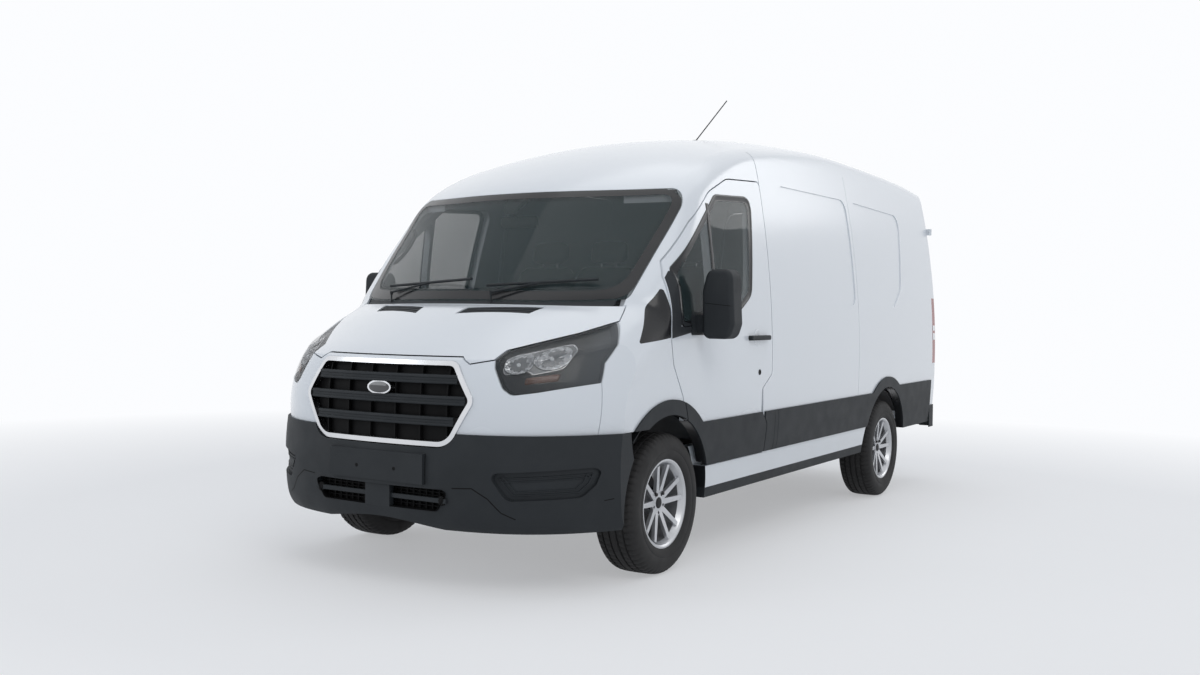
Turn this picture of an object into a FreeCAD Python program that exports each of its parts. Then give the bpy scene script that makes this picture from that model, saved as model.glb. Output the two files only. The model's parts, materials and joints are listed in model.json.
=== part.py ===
import FreeCAD, Part
import math
import os

V = FreeCAD.Vector

# Panel van, medium roof, rear-wheel drive. Millimetres, +Z up, nose towards -Y, left side towards +X.
# Everything is drawn with the front axle at y = 0 and the ground at z = 0, then moved to mid length.

# Driving sizes
WHEELBASE = 3300.0
FRONT_OVERHANG = 1023.0
REAR_OVERHANG = 1208.0
TYRE_RADIUS = 350.0
TYRE_WIDTH = 235.0
RIM_RADIUS = 221.0
TRACK = 1740.0
RAKE_DEG = 0.69
NOSE_Y = -FRONT_OVERHANG
TAIL_Y = WHEELBASE + REAR_OVERHANG
BODY_END_Y = TAIL_Y - 68.0

# Walls and gaps
SIDE_WALL = 50.0
PANEL = 20.0
GLASS = 6.0
CLADDING = 10.0
DOOR_GAP = 7.0
SEAM = 4.0
SEAT_GAP = 0.3

# Heights on the body
SKIRT_Z = 328.0
SILL_STRIP_Z = 382.0
CLADDING_LOW_Z = 505.0
CLADDING_TOP_Z = 735.0
GUTTER_Z = 2231.0
FLOOR_Z = 600.0
FLOOR_THICK = 40.0

# Wheel arches
ARCH_RADIUS = 445.0
ARCH_SHIFT = -45.0
FLARE_WIDTH = 75.0
LINER_RADIUS = 452.0
LINER_THICK = 5.0

# Roof and bonnet line on the centre plane: y, z, plan sweep, crown (both in mm at 1 m off centre)
BOW_LINE = [
    (-1150, 888, 0, 0), (-1080, 960, 120, 10), (-1000, 1046, 240, 20), (-930, 1106, 330, 30),
    (-850, 1156, 390, 30), (-740, 1216, 400, 30), (-600, 1285, 390, 30), (-500, 1320, 380, 20),
    (-450, 1336, 370, 0), (-425, 1362, 360, 0), (-370, 1424, 350, 0), (-200, 1615, 340, 0),
    (-50, 1782, 340, 0), (60, 1900, 330, 0), (130, 1961, 320, 10), (264, 2042, 300, 20),
    (450, 2130, 270, 40), (700, 2222, 230, 70), (1074, 2318, 170, 110), (1500, 2388, 100, 150),
    (1900, 2438, 40, 180), (2300, 2462, 0, 180), (3000, 2466, 0, 180), (3700, 2450, 0, 180),
    (4200, 2426, 0, 180), (BODY_END_Y, 2405, 0, 180)]
# Half width of the body side against height
SIDE_LINE = [(200, 962), (330, 975), (500, 1000), (720, 1013), (950, 1020), (1200, 1015), (1450, 1000),
             (1700, 973), (1950, 935), (2200, 885), (2300, 862), (2500, 810)]
BODY_FLOOR_Z = 200.0
SHOULDER_MIN = 60.0
SHOULDER_MAX = 110.0
# Nose in plan by height: z, y at the centre, bow and corner set-back at 1 m off centre
NOSE_LINE = [(150, -1003, 200, 330), (640, -1000, 198, 310), (1000, -983, 200, 330), (1100, -960, 320, 250),
             (1175, -925, 440, 150), (1300, -850, 520, 90), (1420, -770, 560, 60)]
BUMPER_LINE = [(290, -960, 160, 300), (330, -992, 160, 290), (450, -1018, 160, 290), (560, NOSE_Y, 160, 290),
               (650, NOSE_Y + 3, 160, 290), (760, NOSE_Y + 17, 160, 290)]
BUMPER_TOP_Z = 742.0
BUMPER_LOW_Z = 300.0


# Small helpers
def block(x0, x1, y0, y1, z0, z1):
    return Part.makeBox(x1 - x0, y1 - y0, z1 - z0, V(x0, y0, z0))


def mirrored(shape):
    return shape.mirror(V(0, 0, 0), V(1, 0, 0))


def pair(shape):
    return [shape, mirrored(shape)]


def group(shapes):
    flat = []
    for shape in shapes:
        flat.extend(shape.Solids)
    return Part.makeCompound(flat)


def rounded_wire(points, place):
    """Closed wire through (a, b, radius) corners, laid into space by place(a, b)."""
    edges = []
    spots = []
    count = len(points)
    for i, point in enumerate(points):
        a, b = point[0], point[1]
        radius = point[2] if len(point) > 2 else 0.0
        if radius <= 0:
            spots.append(((a, b), None, (a, b)))
            continue
        before, after = points[i - 1], points[(i + 1) % count]
        ux, uy = before[0] - a, before[1] - b
        vx, vy = after[0] - a, after[1] - b
        lu, lv = math.hypot(ux, uy), math.hypot(vx, vy)
        ux, uy, vx, vy = ux / lu, uy / lu, vx / lv, vy / lv
        half = math.acos(max(-1.0, min(1.0, ux * vx + uy * vy))) / 2
        cut = min(radius / math.tan(half), 0.49 * lu, 0.49 * lv)
        radius = cut * math.tan(half)
        mx, my = ux + vx, uy + vy
        lm = math.hypot(mx, my)
        reach = radius / math.sin(half) - radius
        spots.append(((a + ux * cut, b + uy * cut), (a + mx / lm * reach, b + my / lm * reach),
                      (a + vx * cut, b + vy * cut)))
    for i, (first, middle, last) in enumerate(spots):
        if middle:
            edges.append(Part.Arc(place(*first), place(*middle), place(*last)).toShape())
        following = spots[(i + 1) % count][0]
        if math.hypot(following[0] - last[0], following[1] - last[1]) > 1e-6:
            edges.append(Part.LineSegment(place(*last), place(*following)).toShape())
    return Part.Wire(edges)


def grown(points, grow):
    """The outline moved outward by grow, its corner arcs kept on the same centres."""
    count = len(points)
    area = sum(points[i][0] * points[(i + 1) % count][1] - points[(i + 1) % count][0] * points[i][1]
               for i in range(count))
    sign = 1.0 if area > 0 else -1.0
    moved = []
    for i, point in enumerate(points):
        before, after = points[i - 1], points[(i + 1) % count]
        ux, uy = point[0] - before[0], point[1] - before[1]
        vx, vy = after[0] - point[0], after[1] - point[1]
        lu, lv = math.hypot(ux, uy), math.hypot(vx, vy)
        ux, uy, vx, vy = ux / lu, uy / lu, vx / lv, vy / lv
        nx, ny = sign * (uy + vy), -sign * (ux + vx)
        scale = grow / (1.0 + ux * vx + uy * vy)
        radius = point[2] if len(point) > 2 else 0.0
        if radius:
            convex = sign * (ux * vy - uy * vx) > 0
            radius = max(radius + (grow if convex else -grow), 0.0)
        moved.append((point[0] + nx * scale, point[1] + ny * scale, radius))
    return moved


def prism(points, place, way, grow=0.0):
    wire = rounded_wire(grown(points, grow), place)
    return Part.Face(wire).extrude(way)


def side_prism(points, x0, x1, grow=0.0):
    return prism(points, lambda y, z: V(x0, y, z), V(x1 - x0, 0, 0), grow)


def front_prism(points, y0, y1, grow=0.0):
    return prism(points, lambda x, z: V(x, y0, z), V(0, y1 - y0, 0), grow)


def plan_prism(points, z0, z1, grow=0.0):
    return prism(points, lambda x, y: V(x, y, z0), V(0, 0, z1 - z0), grow)


def cross_cylinder(y, z, radius, x0, x1):
    return Part.makeCylinder(radius, x1 - x0, V(x0, y, z), V(1, 0, 0))


# Outer form of the body
width_curve = Part.BSplineCurve()
width_curve.interpolate(Points=[V(w, 0, z) for z, w in SIDE_LINE])


def half_width(z):
    low, high = width_curve.FirstParameter, width_curve.LastParameter
    for _ in range(40):
        middle = (low + high) / 2
        if width_curve.value(middle).z < z:
            low = middle
        else:
            high = middle
    return width_curve.value(low).x


CROWN_STEPS = (0, 0.25, 0.5, 0.7, 0.85, 0.95, 1.0)
SIDE_STEPS = (0.08, 0.2, 0.4, 0.6, 0.8, 1.0)
SECTION_KNOTS = (0, 0.25, 0.5, 0.7, 0.85, 0.95, 1.0, 1.1, 1.22, 1.32, 1.5, 1.8, 2.1, 2.4, 2.7)


def body_section(row, inset):
    y, z, sweep, crown = row
    sweep, crown = sweep / 1e6, crown / 1e6
    radius = SHOULDER_MIN + (SHOULDER_MAX - SHOULDER_MIN) * min(1.0, abs(y + 100) / 500.0)
    edge = 700.0
    for _ in range(30):
        edge = half_width(z - crown * edge * edge - radius) - radius * 1.02
    half = [(edge * f, z - crown * (edge * f) ** 2) for f in CROWN_STEPS]
    shoulder_z = half[-1][1] - radius
    half.append((edge + radius * 0.62, half[-1][1] - radius * 0.27))
    half.append((half_width(shoulder_z), shoulder_z))
    for f in SIDE_STEPS:
        level = shoulder_z + (BODY_FLOOR_Z - shoulder_z) * f
        half.append((half_width(level), level))
    moved = []
    for i, (x, level) in enumerate(half):
        if i == len(half) - 1:
            moved.append((x - inset, level))
            continue
        before = half[i - 1] if i else (-half[1][0], half[1][1])
        dx, dz = half[i + 1][0] - before[0], half[i + 1][1] - before[1]
        length = math.hypot(dx, dz)
        moved.append((x + inset * dz / length, level - inset * dx / length))
    right = [V(x, y + sweep * x * x, level) for x, level in moved]
    left = [V(-p.x, p.y, p.z) for p in right[1:]]
    return list(reversed(right)) + left


def section_knots():
    last = SECTION_KNOTS[-1]
    return [last - k for k in reversed(SECTION_KNOTS)] + [last + k for k in SECTION_KNOTS[1:]]


def body_form(inset):
    wires = []
    for row in BOW_LINE:
        points = body_section(row, inset)
        curve = Part.BSplineCurve()
        curve.interpolate(Points=points, Parameters=section_knots())
        wires.append(Part.Wire([curve.toShape(), Part.LineSegment(points[-1], points[0]).toShape()]))
    return Part.makeLoft(wires, True, False)


def bowed_form(levels, inset, reach, back):
    """Loft of plan outlines that are bowed at the front and run straight back."""
    wires = []
    steps = int(reach / 100.0)
    for z, y, bow, corner in levels:
        points = []
        for i in range(-steps, steps + 1):
            share = abs(i) / 10.0
            points.append(V(100.0 * i, y + inset + bow * share ** 2 + corner * share ** 5, z))
        curve = Part.BSplineCurve()
        curve.interpolate(Points=points, Parameters=[float(i) for i in range(len(points))])
        ends = [points[-1], V(points[-1].x, back, z), V(points[0].x, back, z), points[0]]
        lines = [Part.LineSegment(ends[i], ends[i + 1]).toShape() for i in range(3)]
        wires.append(Part.Wire([curve.toShape()] + lines))
    return Part.makeLoft(wires, True, False)


def trimmed_form(inset):
    """The closed outer form, or the same form set in by a wall thickness."""
    nose = bowed_form(NOSE_LINE, inset, 1100.0, 3000.0)
    front = block(-1200, 1200, -1700, -300, NOSE_LINE[0][0], NOSE_LINE[-1][0]).cut(nose)
    form = body_form(inset).cut(front)
    keep = block(-1300, 1300, -1300, BODY_END_Y - max(inset, 0.0), BODY_FLOOR_Z, 2600)
    return form.common(keep) if inset > 0 else form


OUTER = trimmed_form(0.0)
CLAD = trimmed_form(-CLADDING)
INNER_GLASS = trimmed_form(GLASS)
INNER_PANEL = trimmed_form(PANEL)
INNER_SIDE = trimmed_form(SIDE_WALL)


def wall(region, inner):
    return region.common(OUTER).cut(inner)


def biggest(shape):
    return max(shape.Solids, key=lambda s: s.Volume)


def revolved(outline):
    """Solid of revolution about the X axis from (radius, x) points."""
    wire = Part.makePolygon([V(x, 0, r) for r, x in outline + outline[:1]])
    return Part.Face(wire).revolve(V(0, 0, 0), V(1, 0, 0), 360)


# Outlines of the openings, in side view (y, z) or front view (x, z)
RAKE = math.radians(RAKE_DEG)
REAR_AXLE_Y = WHEELBASE * math.cos(RAKE)
REAR_AXLE_Z = TYRE_RADIUS - WHEELBASE * math.sin(RAKE)
ARCH_RISE_REAR = 8.0
FAR = 1150.0
INNER_X = 600.0
B_SEAM_Y = 1178.0
DOOR_REAR_Y = B_SEAM_Y - DOOR_GAP / 2
SIDE_FRONT_Y = B_SEAM_Y + DOOR_GAP / 2
REAR_CORNER_Y = 4330.0
DOOR_LINE = [
    (DOOR_REAR_Y, 2049, 30), (745, 2024, 200), (500, 1932, 300), (263, 1761, 300), (30, 1546, 60),
    (-10, 1465, 60), (-27, 1350, 100), (-30, 1165, 60), (-14, 1040, 60), (88, 882, 60), (138, 760, 60),
    (140, CLADDING_LOW_Z), (1085, CLADDING_LOW_Z, 15), (1105, 664, 30), (1040, 735, 30), (1040, 868, 30),
    (DOOR_REAR_Y, 950, 40)]
WINDOW_LINE = [(1012, 1938, 60), (560, 1914, 90), (45, 1506, 25), (85, 1228, 30), (690, 1282, 60), (905, 1400, 90)]
DIVIDER_Y = 455.0
GRILLE_LINE = [(406, 1069, 60), (518, 892, 50), (395, 680, 110), (-395, 680, 110), (-518, 892, 50), (-406, 1069, 60)]
LAMP_LINE = [(567, 1078, 18), (572, 1112, 18), (642, 1141), (780, 1194), (885, 1251), (1100, 1368), (1100, 990),
             (947, 977), (760, 936), (668, 922, 40), (630, 950, 30), (578, 1040, 30)]
LAMP_REAR = [(-1100, 880), (-605, 880), (-565, 977), (-525, 1062), (-319, 1251), (-300, 1300), (-1100, 1300)]
BONNET_FRONT = [(-1100, 1500), (1100, 1500), (1100, 1256), (885, 1256), (780, 1199), (642, 1146), (569, 1118),
                (560, 1077), (462, 1058), (412, 1089), (-412, 1089), (-462, 1058), (-560, 1077), (-569, 1118),
                (-642, 1146), (-780, 1199), (-885, 1256), (-1100, 1256)]
REAR_LINE = [(-800, 2160, 60), (800, 2160, 60), (850, 2060, 200), (885, 1700, 300), (922, 1300, 300), (938, 950, 300),
             (935, 575), (-935, 575), (-938, 950, 300), (-922, 1300, 300), (-885, 1700, 300), (-850, 2060, 200)]
LOAD_DOOR_LINE = [(B_SEAM_Y + 32, CLADDING_LOW_Z, 40), (2480, CLADDING_LOW_Z, 40), (2480, 2120, 90),
                  (B_SEAM_Y + 32, 2120, 90)]
SAIL_LINE = [(-320, 1147, 6), (-38, 1424, 10), (-40, 1172, 6)]
SAIL_X = 920.0
WING_X = 838.0
PILLAR_SPLIT_Y = -70.0
PILLAR_FOOT_Z = 1150.0
ROOF_LINE = [(300, 1930), (362, 1952), (564, 2062), (751, 2151), (1037, GUTTER_Z)]
ROOF_EDGE = [(PILLAR_SPLIT_Y, 1893)] + ROOF_LINE + [(4600, GUTTER_Z), (4600, 2700),
                                               (PILLAR_SPLIT_Y, 2700)]
SILL_TOP_Z = CLADDING_LOW_Z - DOOR_GAP
BONNET_GAP = 6.0

# Windscreen in plan
SCREEN_BASE_Y = -436.0
SCREEN_TOP_Y = 95.0
SCREEN_BASE_X = 850.0
SCREEN_TOP_X = 905.0
SCREEN_SIDE_X = 882.0
SCREEN_BASE_SIDE_Y = -163.0
SCREEN_TOP_SIDE_Y = 390.0
SCREEN_CORNER = 60.0
GLASS_LAP = 25.0


def screen_tool(grow, z0=1200.0, z1=2300.0):
    """Upright prism through the windscreen, grown or shrunk all round."""
    base_x, top_x, side_x = SCREEN_BASE_X + grow, SCREEN_TOP_X + grow, SCREEN_SIDE_X + grow
    base_y, top_y = SCREEN_BASE_SIDE_Y - 0.55 * grow, SCREEN_TOP_SIDE_Y + 1.84 * grow
    middle_y = (SCREEN_BASE_SIDE_Y + SCREEN_TOP_SIDE_Y) / 2
    base = Part.Arc(V(-base_x, base_y, z0), V(0, SCREEN_BASE_Y - grow, z0), V(base_x, base_y, z0))
    left = Part.Arc(V(base_x, base_y, z0), V(side_x, middle_y, z0), V(top_x, top_y, z0))
    top = Part.Arc(V(top_x, top_y, z0), V(0, SCREEN_TOP_Y + grow, z0), V(-top_x, top_y, z0))
    right = Part.Arc(V(-top_x, top_y, z0), V(-side_x, middle_y, z0), V(-base_x, base_y, z0))
    wire = Part.Wire([e.toShape() for e in (base, left, top, right)])
    solid = Part.Face(wire).extrude(V(0, 0, z1 - z0))
    corners = [e for e in solid.Edges if isinstance(e.Curve, Part.Line)]
    return solid.makeFillet(SCREEN_CORNER + grow, corners)


BONNET_REAR_Y = -462.0
BONNET_REAR_BOW = 386.0


def bonnet_tool(grow):
    """Space of the bonnet in front view and in plan, grown by a gap."""
    upper = front_prism(BONNET_FRONT, -1200, 0, grow)
    rear_y, side_y = BONNET_REAR_Y + grow, BONNET_REAR_Y + BONNET_REAR_BOW + grow
    rear = Part.Arc(V(-1000, side_y, 900), V(0, rear_y, 900), V(1000, side_y, 900)).toShape()
    rest = [V(1000, side_y, 900), V(1000, -1200, 900), V(-1000, -1200, 900), V(-1000, side_y, 900)]
    lines = [Part.LineSegment(rest[i], rest[i + 1]).toShape() for i in range(3)]
    plan = Part.Face(Part.Wire([rear] + lines)).extrude(V(0, 0, 700))
    corner = plan_prism([(885 + grow, -319), (843 + grow, -185), (843 + grow, 50), (1200, 50), (1200, -319)], 900, 1600)
    return upper.common(plan).cut(group(pair(corner)))


def lamp_tool(grow):
    return front_prism(LAMP_LINE, -1100, -250, grow).common(side_prism(LAMP_REAR, 400, FAR, grow))


def band(y0, y1, z0, z1):
    return block(INNER_X, FAR, y0, y1, z0, z1)


def arch_tools(radius):
    """Left front and left rear wheel openings."""
    front = cross_cylinder(ARCH_SHIFT, TYRE_RADIUS, radius, INNER_X, FAR)
    rear = cross_cylinder(REAR_AXLE_Y + ARCH_SHIFT, REAR_AXLE_Z + ARCH_RISE_REAR, radius, INNER_X, FAR)
    return front, rear


glass_bed = screen_tool(3.0).cut(INNER_GLASS)
screen_hole = screen_tool(-GLASS_LAP)
door_hole = side_prism(DOOR_LINE, INNER_X, FAR, DOOR_GAP)
front_arch, rear_arch = arch_tools(ARCH_RADIUS)
front_flare, rear_flare = arch_tools(ARCH_RADIUS + FLARE_WIDTH)
lamp_gap = lamp_tool(3.0)
bonnet_gap = bonnet_tool(BONNET_GAP)
sail_tool = side_prism(SAIL_LINE, SAIL_X, FAR)
sail_bed = sail_tool.cut(INNER_GLASS)
bumper_form = bowed_form(BUMPER_LINE, 0.0, 1100.0, 600.0)
grille_hole = front_prism(GRILLE_LINE, -1200, -300)


# Painted shell
def make_roof():
    shape = wall(side_prism(ROOF_EDGE, -FAR, FAR), INNER_PANEL)
    return shape.cut(glass_bed).cut(screen_hole)


def make_cab_frame():
    edge = [(PILLAR_SPLIT_Y, PILLAR_FOOT_Z), (DOOR_REAR_Y, PILLAR_FOOT_Z), (DOOR_REAR_Y, GUTTER_Z)]
    edge += ROOF_LINE[::-1] + [ROOF_EDGE[0]]
    side = wall(side_prism(edge, INNER_X, FAR), INNER_SIDE)
    side = side.cut(door_hole).cut(glass_bed).cut(screen_hole).cut(sail_bed)
    return group(pair(biggest(side)))


def make_front_wings():
    split = PILLAR_SPLIT_Y - SEAT_GAP
    edge = [(-598, BUMPER_TOP_Z), (-563, 977), (-563, 1470), (split, 1470), (split, PILLAR_FOOT_Z - SEAT_GAP),
            (200, PILLAR_FOOT_Z - SEAT_GAP), (200, BUMPER_TOP_Z)]
    side = wall(side_prism(edge, WING_X, FAR), INNER_PANEL)
    side = side.cut(door_hole).cut(bonnet_gap).cut(lamp_gap).cut(glass_bed).cut(screen_hole).cut(sail_bed).cut(front_arch)
    side = biggest(side).fuse(bonnet_lug()).cut(front_hinge_pocket()).fuse(front_hinge_pins())
    return group(pair(side.removeSplitter()))


def make_nose_panel():
    edge = [(-1100, BUMPER_TOP_Z), (-602, BUMPER_TOP_Z), (-567, 977), (-567, 1500), (-1100, 1500)]
    shape = wall(side_prism(edge, -FAR, FAR), INNER_PANEL)
    shape = shape.cut(bonnet_gap).cut(group(pair(lamp_gap))).cut(grille_hole)
    return group([s for s in shape.Solids if s.Volume > SCRAP_VOLUME])


SCRAP_VOLUME = 2e5
BONNET_AXIS_Y = -150.0
BONNET_AXIS_Z = 1345.0
BONNET_PIN_R = 6.0


def bonnet_lug():
    """Pin for the bonnet's arm, on a lug under the wing."""
    y, z = BONNET_AXIS_Y, BONNET_AXIS_Z
    lug = block(868, 886, y - 12, y + 12, z - 14, z + 90).common(INNER_GLASS)
    return lug.fuse(cross_cylinder(y, z, BONNET_PIN_R, 799, 870))


def make_bonnet():
    """Lid with a swan-neck arm at each side, whose pin lies under the screen's corner."""
    lid = biggest(wall(bonnet_tool(0.0), INNER_PANEL))
    y, z = BONNET_AXIS_Y, BONNET_AXIS_Z
    ring = cross_cylinder(y, z, 12, 801, 831)
    neck = side_prism([(y - 8, z + 8), (y + 8, z - 8), (y - 18, z - 56, 12), (y - 110, z - 64, 12), (y - 110, z + 60),
                       (y - 75, z + 60), (y - 75, z - 44, 10), (y - 35, z - 41, 12)], 801, 831)
    arm = ring.fuse(neck.common(INNER_GLASS)).cut(cross_cylinder(y, z, BONNET_PIN_R + SEAT_GAP, 790, 840))
    lid = lid.fuse(pair(biggest(arm))).removeSplitter()
    return lid.cut(group(pair(plan_prism(VENT_LINE, 1150, 1450))))


VENT_LINE = [(125, -604), (489, -493), (522, -383), (140, -512)]
VENT_SLOTS = 4


def make_bonnet_vents():
    """Louvred air vents, let into the bonnet's two openings."""
    vent = plan_prism(VENT_LINE, 1150, 1450, -SEAT_GAP).common(INNER_GLASS).cut(INNER_PANEL)
    (x0, y0), (x1, y1), (x2, y2), (x3, y3) = VENT_LINE
    slots = []
    for i in range(VENT_SLOTS):
        share = [(i + k) / VENT_SLOTS for k in (0.3, 0.85)]
        inner = [(x0 + (x3 - x0) * t + 12, y0 + (y3 - y0) * t + 4) for t in share]
        outer = [(x1 + (x2 - x1) * t - 12, y1 + (y2 - y1) * t - 4) for t in share]
        slots.append(plan_prism(inner[:1] + outer + inner[1:], 1150, 1450))
    return group(pair(biggest(vent.cut(group(slots)))))


def make_cowl():
    """Dark strip between the bonnet and the glass, carried on under the glass."""
    region = block(-795, 795, -520, -60, 1150, 1420).cut(screen_tool(-55.0)).cut(bonnet_gap)
    return biggest(region.common(INNER_GLASS).cut(INNER_PANEL))


LEFT_PANELS = ([(1424, 1349, 70), (2595, 1349, 70), (2595, 2063, 90), (1424, 2058, 90)],
               [(2690, 1349, 70), (3427, 1349, 60), (3594, 1478, 90), (3735, 2036, 90), (2690, 2063, 90)])
LOAD_PANEL = [(1290, 1349, 70), (2400, 1349, 70), (2400, 2040, 90), (1290, 2040, 90)]
RAIL_SLOT = [(2500, 1262), (4210, 1262), (4210, 1288), (2500, 1288)]
SIDE_SEAM_Y = 2642.0


def stamped(lines):
    """Shallow stamped fields, as deep as the glass is thick."""
    return group([side_prism(line, INNER_X, FAR).cut(INNER_GLASS) for line in lines])


def make_sides():
    edge = [(SIDE_FRONT_Y, SILL_TOP_Z), (REAR_AXLE_Y, SILL_TOP_Z), (REAR_AXLE_Y, LOWER_EDGE_Z),
            (REAR_CORNER_Y, LOWER_EDGE_Z), (REAR_CORNER_Y, GUTTER_Z), (SIDE_FRONT_Y, GUTTER_Z)]
    fore = side_prism([(1092, SILL_TOP_Z), (1240, SILL_TOP_Z), (1240, 960), (1047, 960)], INNER_X, FAR)
    region = side_prism(edge, INNER_X, FAR).fuse(fore.cut(door_hole))
    plain = biggest(wall(region, INNER_SIDE).cut(rear_arch))
    seam = band(SIDE_SEAM_Y - SEAM / 2, SIDE_SEAM_Y + SEAM / 2, CLADDING_TOP_Z, GUTTER_Z).cut(INNER_GLASS)
    left = plain.cut(stamped(LEFT_PANELS)).cut(seam)
    rail = side_prism(RAIL_SLOT, INNER_X, FAR).cut(INNER_PANEL)
    right = plain.cut(side_prism(LOAD_DOOR_LINE, INNER_X, FAR, SEAM)).cut(rail).cut(stamped(LEFT_PANELS[1:]))
    load_door = wall(side_prism(LOAD_DOOR_LINE, INNER_X, FAR), INNER_SIDE).cut(stamped([LOAD_PANEL]))
    return biggest(left), mirrored(biggest(right)), mirrored(load_door)


LOWER_EDGE_Z = 430.0


def make_sills():
    """Painted sill box from arch to arch, with an upstand inside for the floor."""
    box = block(870, FAR, 200, REAR_AXLE_Y, SILL_STRIP_Z, SILL_TOP_Z).common(OUTER)
    upstand = block(870, 925, 200, B_SEAM_Y + 60, SILL_TOP_Z - 1, FLOOR_Z)
    sill = biggest(box.fuse(upstand).cut(front_arch).cut(rear_arch).removeSplitter())
    return group(pair(sill))


# Back end
REAR_HINGE = (957.0, 4458.0)
REAR_HINGE_FEET = ((760.0, 930.0), (1380.0, 905.0), (1960.0, 850.0))
REAR_PIN_R = 7.0
LAMP_LOW_Z, LAMP_HIGH_Z = 900.0, 1420.0
REAR_SPLIT = 9.0


def tail_lamp_tool(grow):
    region = block(900, FAR, BODY_END_Y - 70 - grow, 4700, LAMP_LOW_Z - grow, LAMP_HIGH_Z + grow)
    return region.cut(front_prism(REAR_LINE, 4200, 4700, DOOR_GAP + 16 - grow))


def make_tail_lamps():
    return group(pair(biggest(wall(tail_lamp_tool(0.0), INNER_PANEL))))


def make_rear_frame():
    end = BODY_END_Y + 50
    edge = [(REAR_CORNER_Y, LOWER_EDGE_Z), (end, LOWER_EDGE_Z), (end, GUTTER_Z), (REAR_CORNER_Y, GUTTER_Z)]
    frame = wall(side_prism(edge, -FAR, FAR), INNER_SIDE)
    frame = frame.cut(front_prism(REAR_LINE, 4200, 4600, DOOR_GAP)).cut(group(pair(tail_lamp_tool(SEAT_GAP))))
    x, y = REAR_HINGE
    for z, _ in REAR_HINGE_FEET:
        pin = Part.makeCylinder(REAR_PIN_R, 76, V(x, y, z - 38), V(0, 0, 1))
        ears = [block(x - 9, x + 9, BODY_END_Y - 10, y + 7, z + a, z + a + 12) for a in (-38, 26)]
        plate = block(x - 9, x + 20, BODY_END_Y - 10, BODY_END_Y + 4, z - 38, z + 38)
        frame = frame.fuse(pair(pin.fuse(ears + [plate]).removeSplitter()))
    return biggest(frame.removeSplitter())


def make_rear_doors():
    slab = front_prism(REAR_LINE, BODY_END_Y - SIDE_WALL, BODY_END_Y + 20).common(OUTER)
    left = slab.common(block(REAR_SPLIT / 2, FAR, 4200, 4600, 300, 2500))
    x, y = REAR_HINGE
    for z, foot_x in REAR_HINGE_FEET:
        ring = Part.makeCylinder(13, 50, V(x, y, z - 25), V(0, 0, 1))
        arm = block(foot_x - 60, x, y - 8, y + 4, z - 25, z + 25)
        foot = block(foot_x - 60, foot_x, BODY_END_Y - 5, y + 4, z - 25, z + 25)
        hole = Part.makeCylinder(REAR_PIN_R + SEAT_GAP, 80, V(x, y, z - 40), V(0, 0, 1))
        left = left.fuse(ring.fuse([arm, foot]).cut(hole))
    left = left.removeSplitter()
    return left, mirrored(left)


def make_rear_bumper():
    front = REAR_CORNER_Y + SEAT_GAP
    outer = plan_prism([(-1014, front), (-1014, TAIL_Y, 90), (1014, TAIL_Y, 90), (1014, front)], 385, 560)
    body = block(-1006.5, 1006.5, 4200, BODY_END_Y + SEAT_GAP, 300, 600)
    inner = block(-900, 900, 4300, TAIL_Y - 14, 300, 545)
    return outer.cut(body).cut(inner).removeSplitter()


# Front doors
FRONT_HINGE = (1008.0, -66.0)
FRONT_HINGE_LEVELS = (1056.0, 1118.0)
FRONT_PIN_R = 3.5
FRAME_STEP = 14.0


def front_hinge_pocket():
    x, y = FRONT_HINGE
    shapes = []
    for z in FRONT_HINGE_LEVELS:
        shapes.append(Part.makeCylinder(8, 56, V(x, y, z - 28), V(0, 0, 1)))
        shapes.append(block(x - 60, x + 8, y, y + 60, z - 28, z + 28))
        shapes.append(block(x - 60, x - 1, y - 12, y, z - 28, z + 28))
    return group(shapes)


def front_hinge_pins():
    x, y = FRONT_HINGE
    return [Part.makeCylinder(FRONT_PIN_R, 60, V(x, y, z - 30), V(0, 0, 1)) for z in FRONT_HINGE_LEVELS]


def front_hinge_straps():
    """Goose-neck straps: inward past the wing's edge, then back to the door's inner face."""
    x, y = FRONT_HINGE
    shapes = []
    for z in FRONT_HINGE_LEVELS:
        ring = Part.makeCylinder(7, 40, V(x, y, z - 20), V(0, 0, 1))
        neck = block(x - 56, x, y - 5, y + 5, z - 20, z + 20)
        tail = block(x - 56, x - 45, y - 5, y + 104, z - 20, z + 20)
        foot = block(x - 56, x - 30, y + 72, y + 104, z - 20, z + 20)
        hole = Part.makeCylinder(FRONT_PIN_R + SEAT_GAP, 60, V(x, y, z - 30), V(0, 0, 1))
        shapes.append(ring.fuse([neck, tail, foot]).cut(hole))
    return shapes


def make_front_door():
    """Thick door with a thinner lip all round, and the window let in from outside."""
    shape = wall(side_prism(DOOR_LINE, INNER_X, FAR), INNER_SIDE).cut(front_arch)
    lip = side_prism(DOOR_LINE, INNER_X, FAR, 2.0).cut(side_prism(DOOR_LINE, INNER_X, FAR, -FRAME_STEP))
    shape = shape.cut(lip.common(INNER_PANEL))
    window = side_prism(WINDOW_LINE, INNER_X, FAR)
    divider = block(INNER_X, FAR, DIVIDER_Y - 14, DIVIDER_Y + 14, 1150, 2050)
    bed = side_prism(WINDOW_LINE, INNER_X, FAR, 14.0).cut(INNER_GLASS)
    shape = biggest(shape.cut(window.cut(divider)).cut(bed))
    return shape.fuse(front_hinge_straps()).removeSplitter()


def make_door_glass():
    pane = wall(side_prism(WINDOW_LINE, INNER_X, FAR, 13.0), INNER_GLASS)
    pane = pane.cut(block(INNER_X, FAR, DIVIDER_Y - 5, DIVIDER_Y + 5, 1150, 2050))
    pane.translate(V(SEAT_GAP, 0, 0))
    return group(pane.Solids)


# Cladding
def clad(region):
    shape = region.common(CLAD).cut(OUTER)
    shape.translate(V(SEAT_GAP, 0, 0))
    return shape


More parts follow.
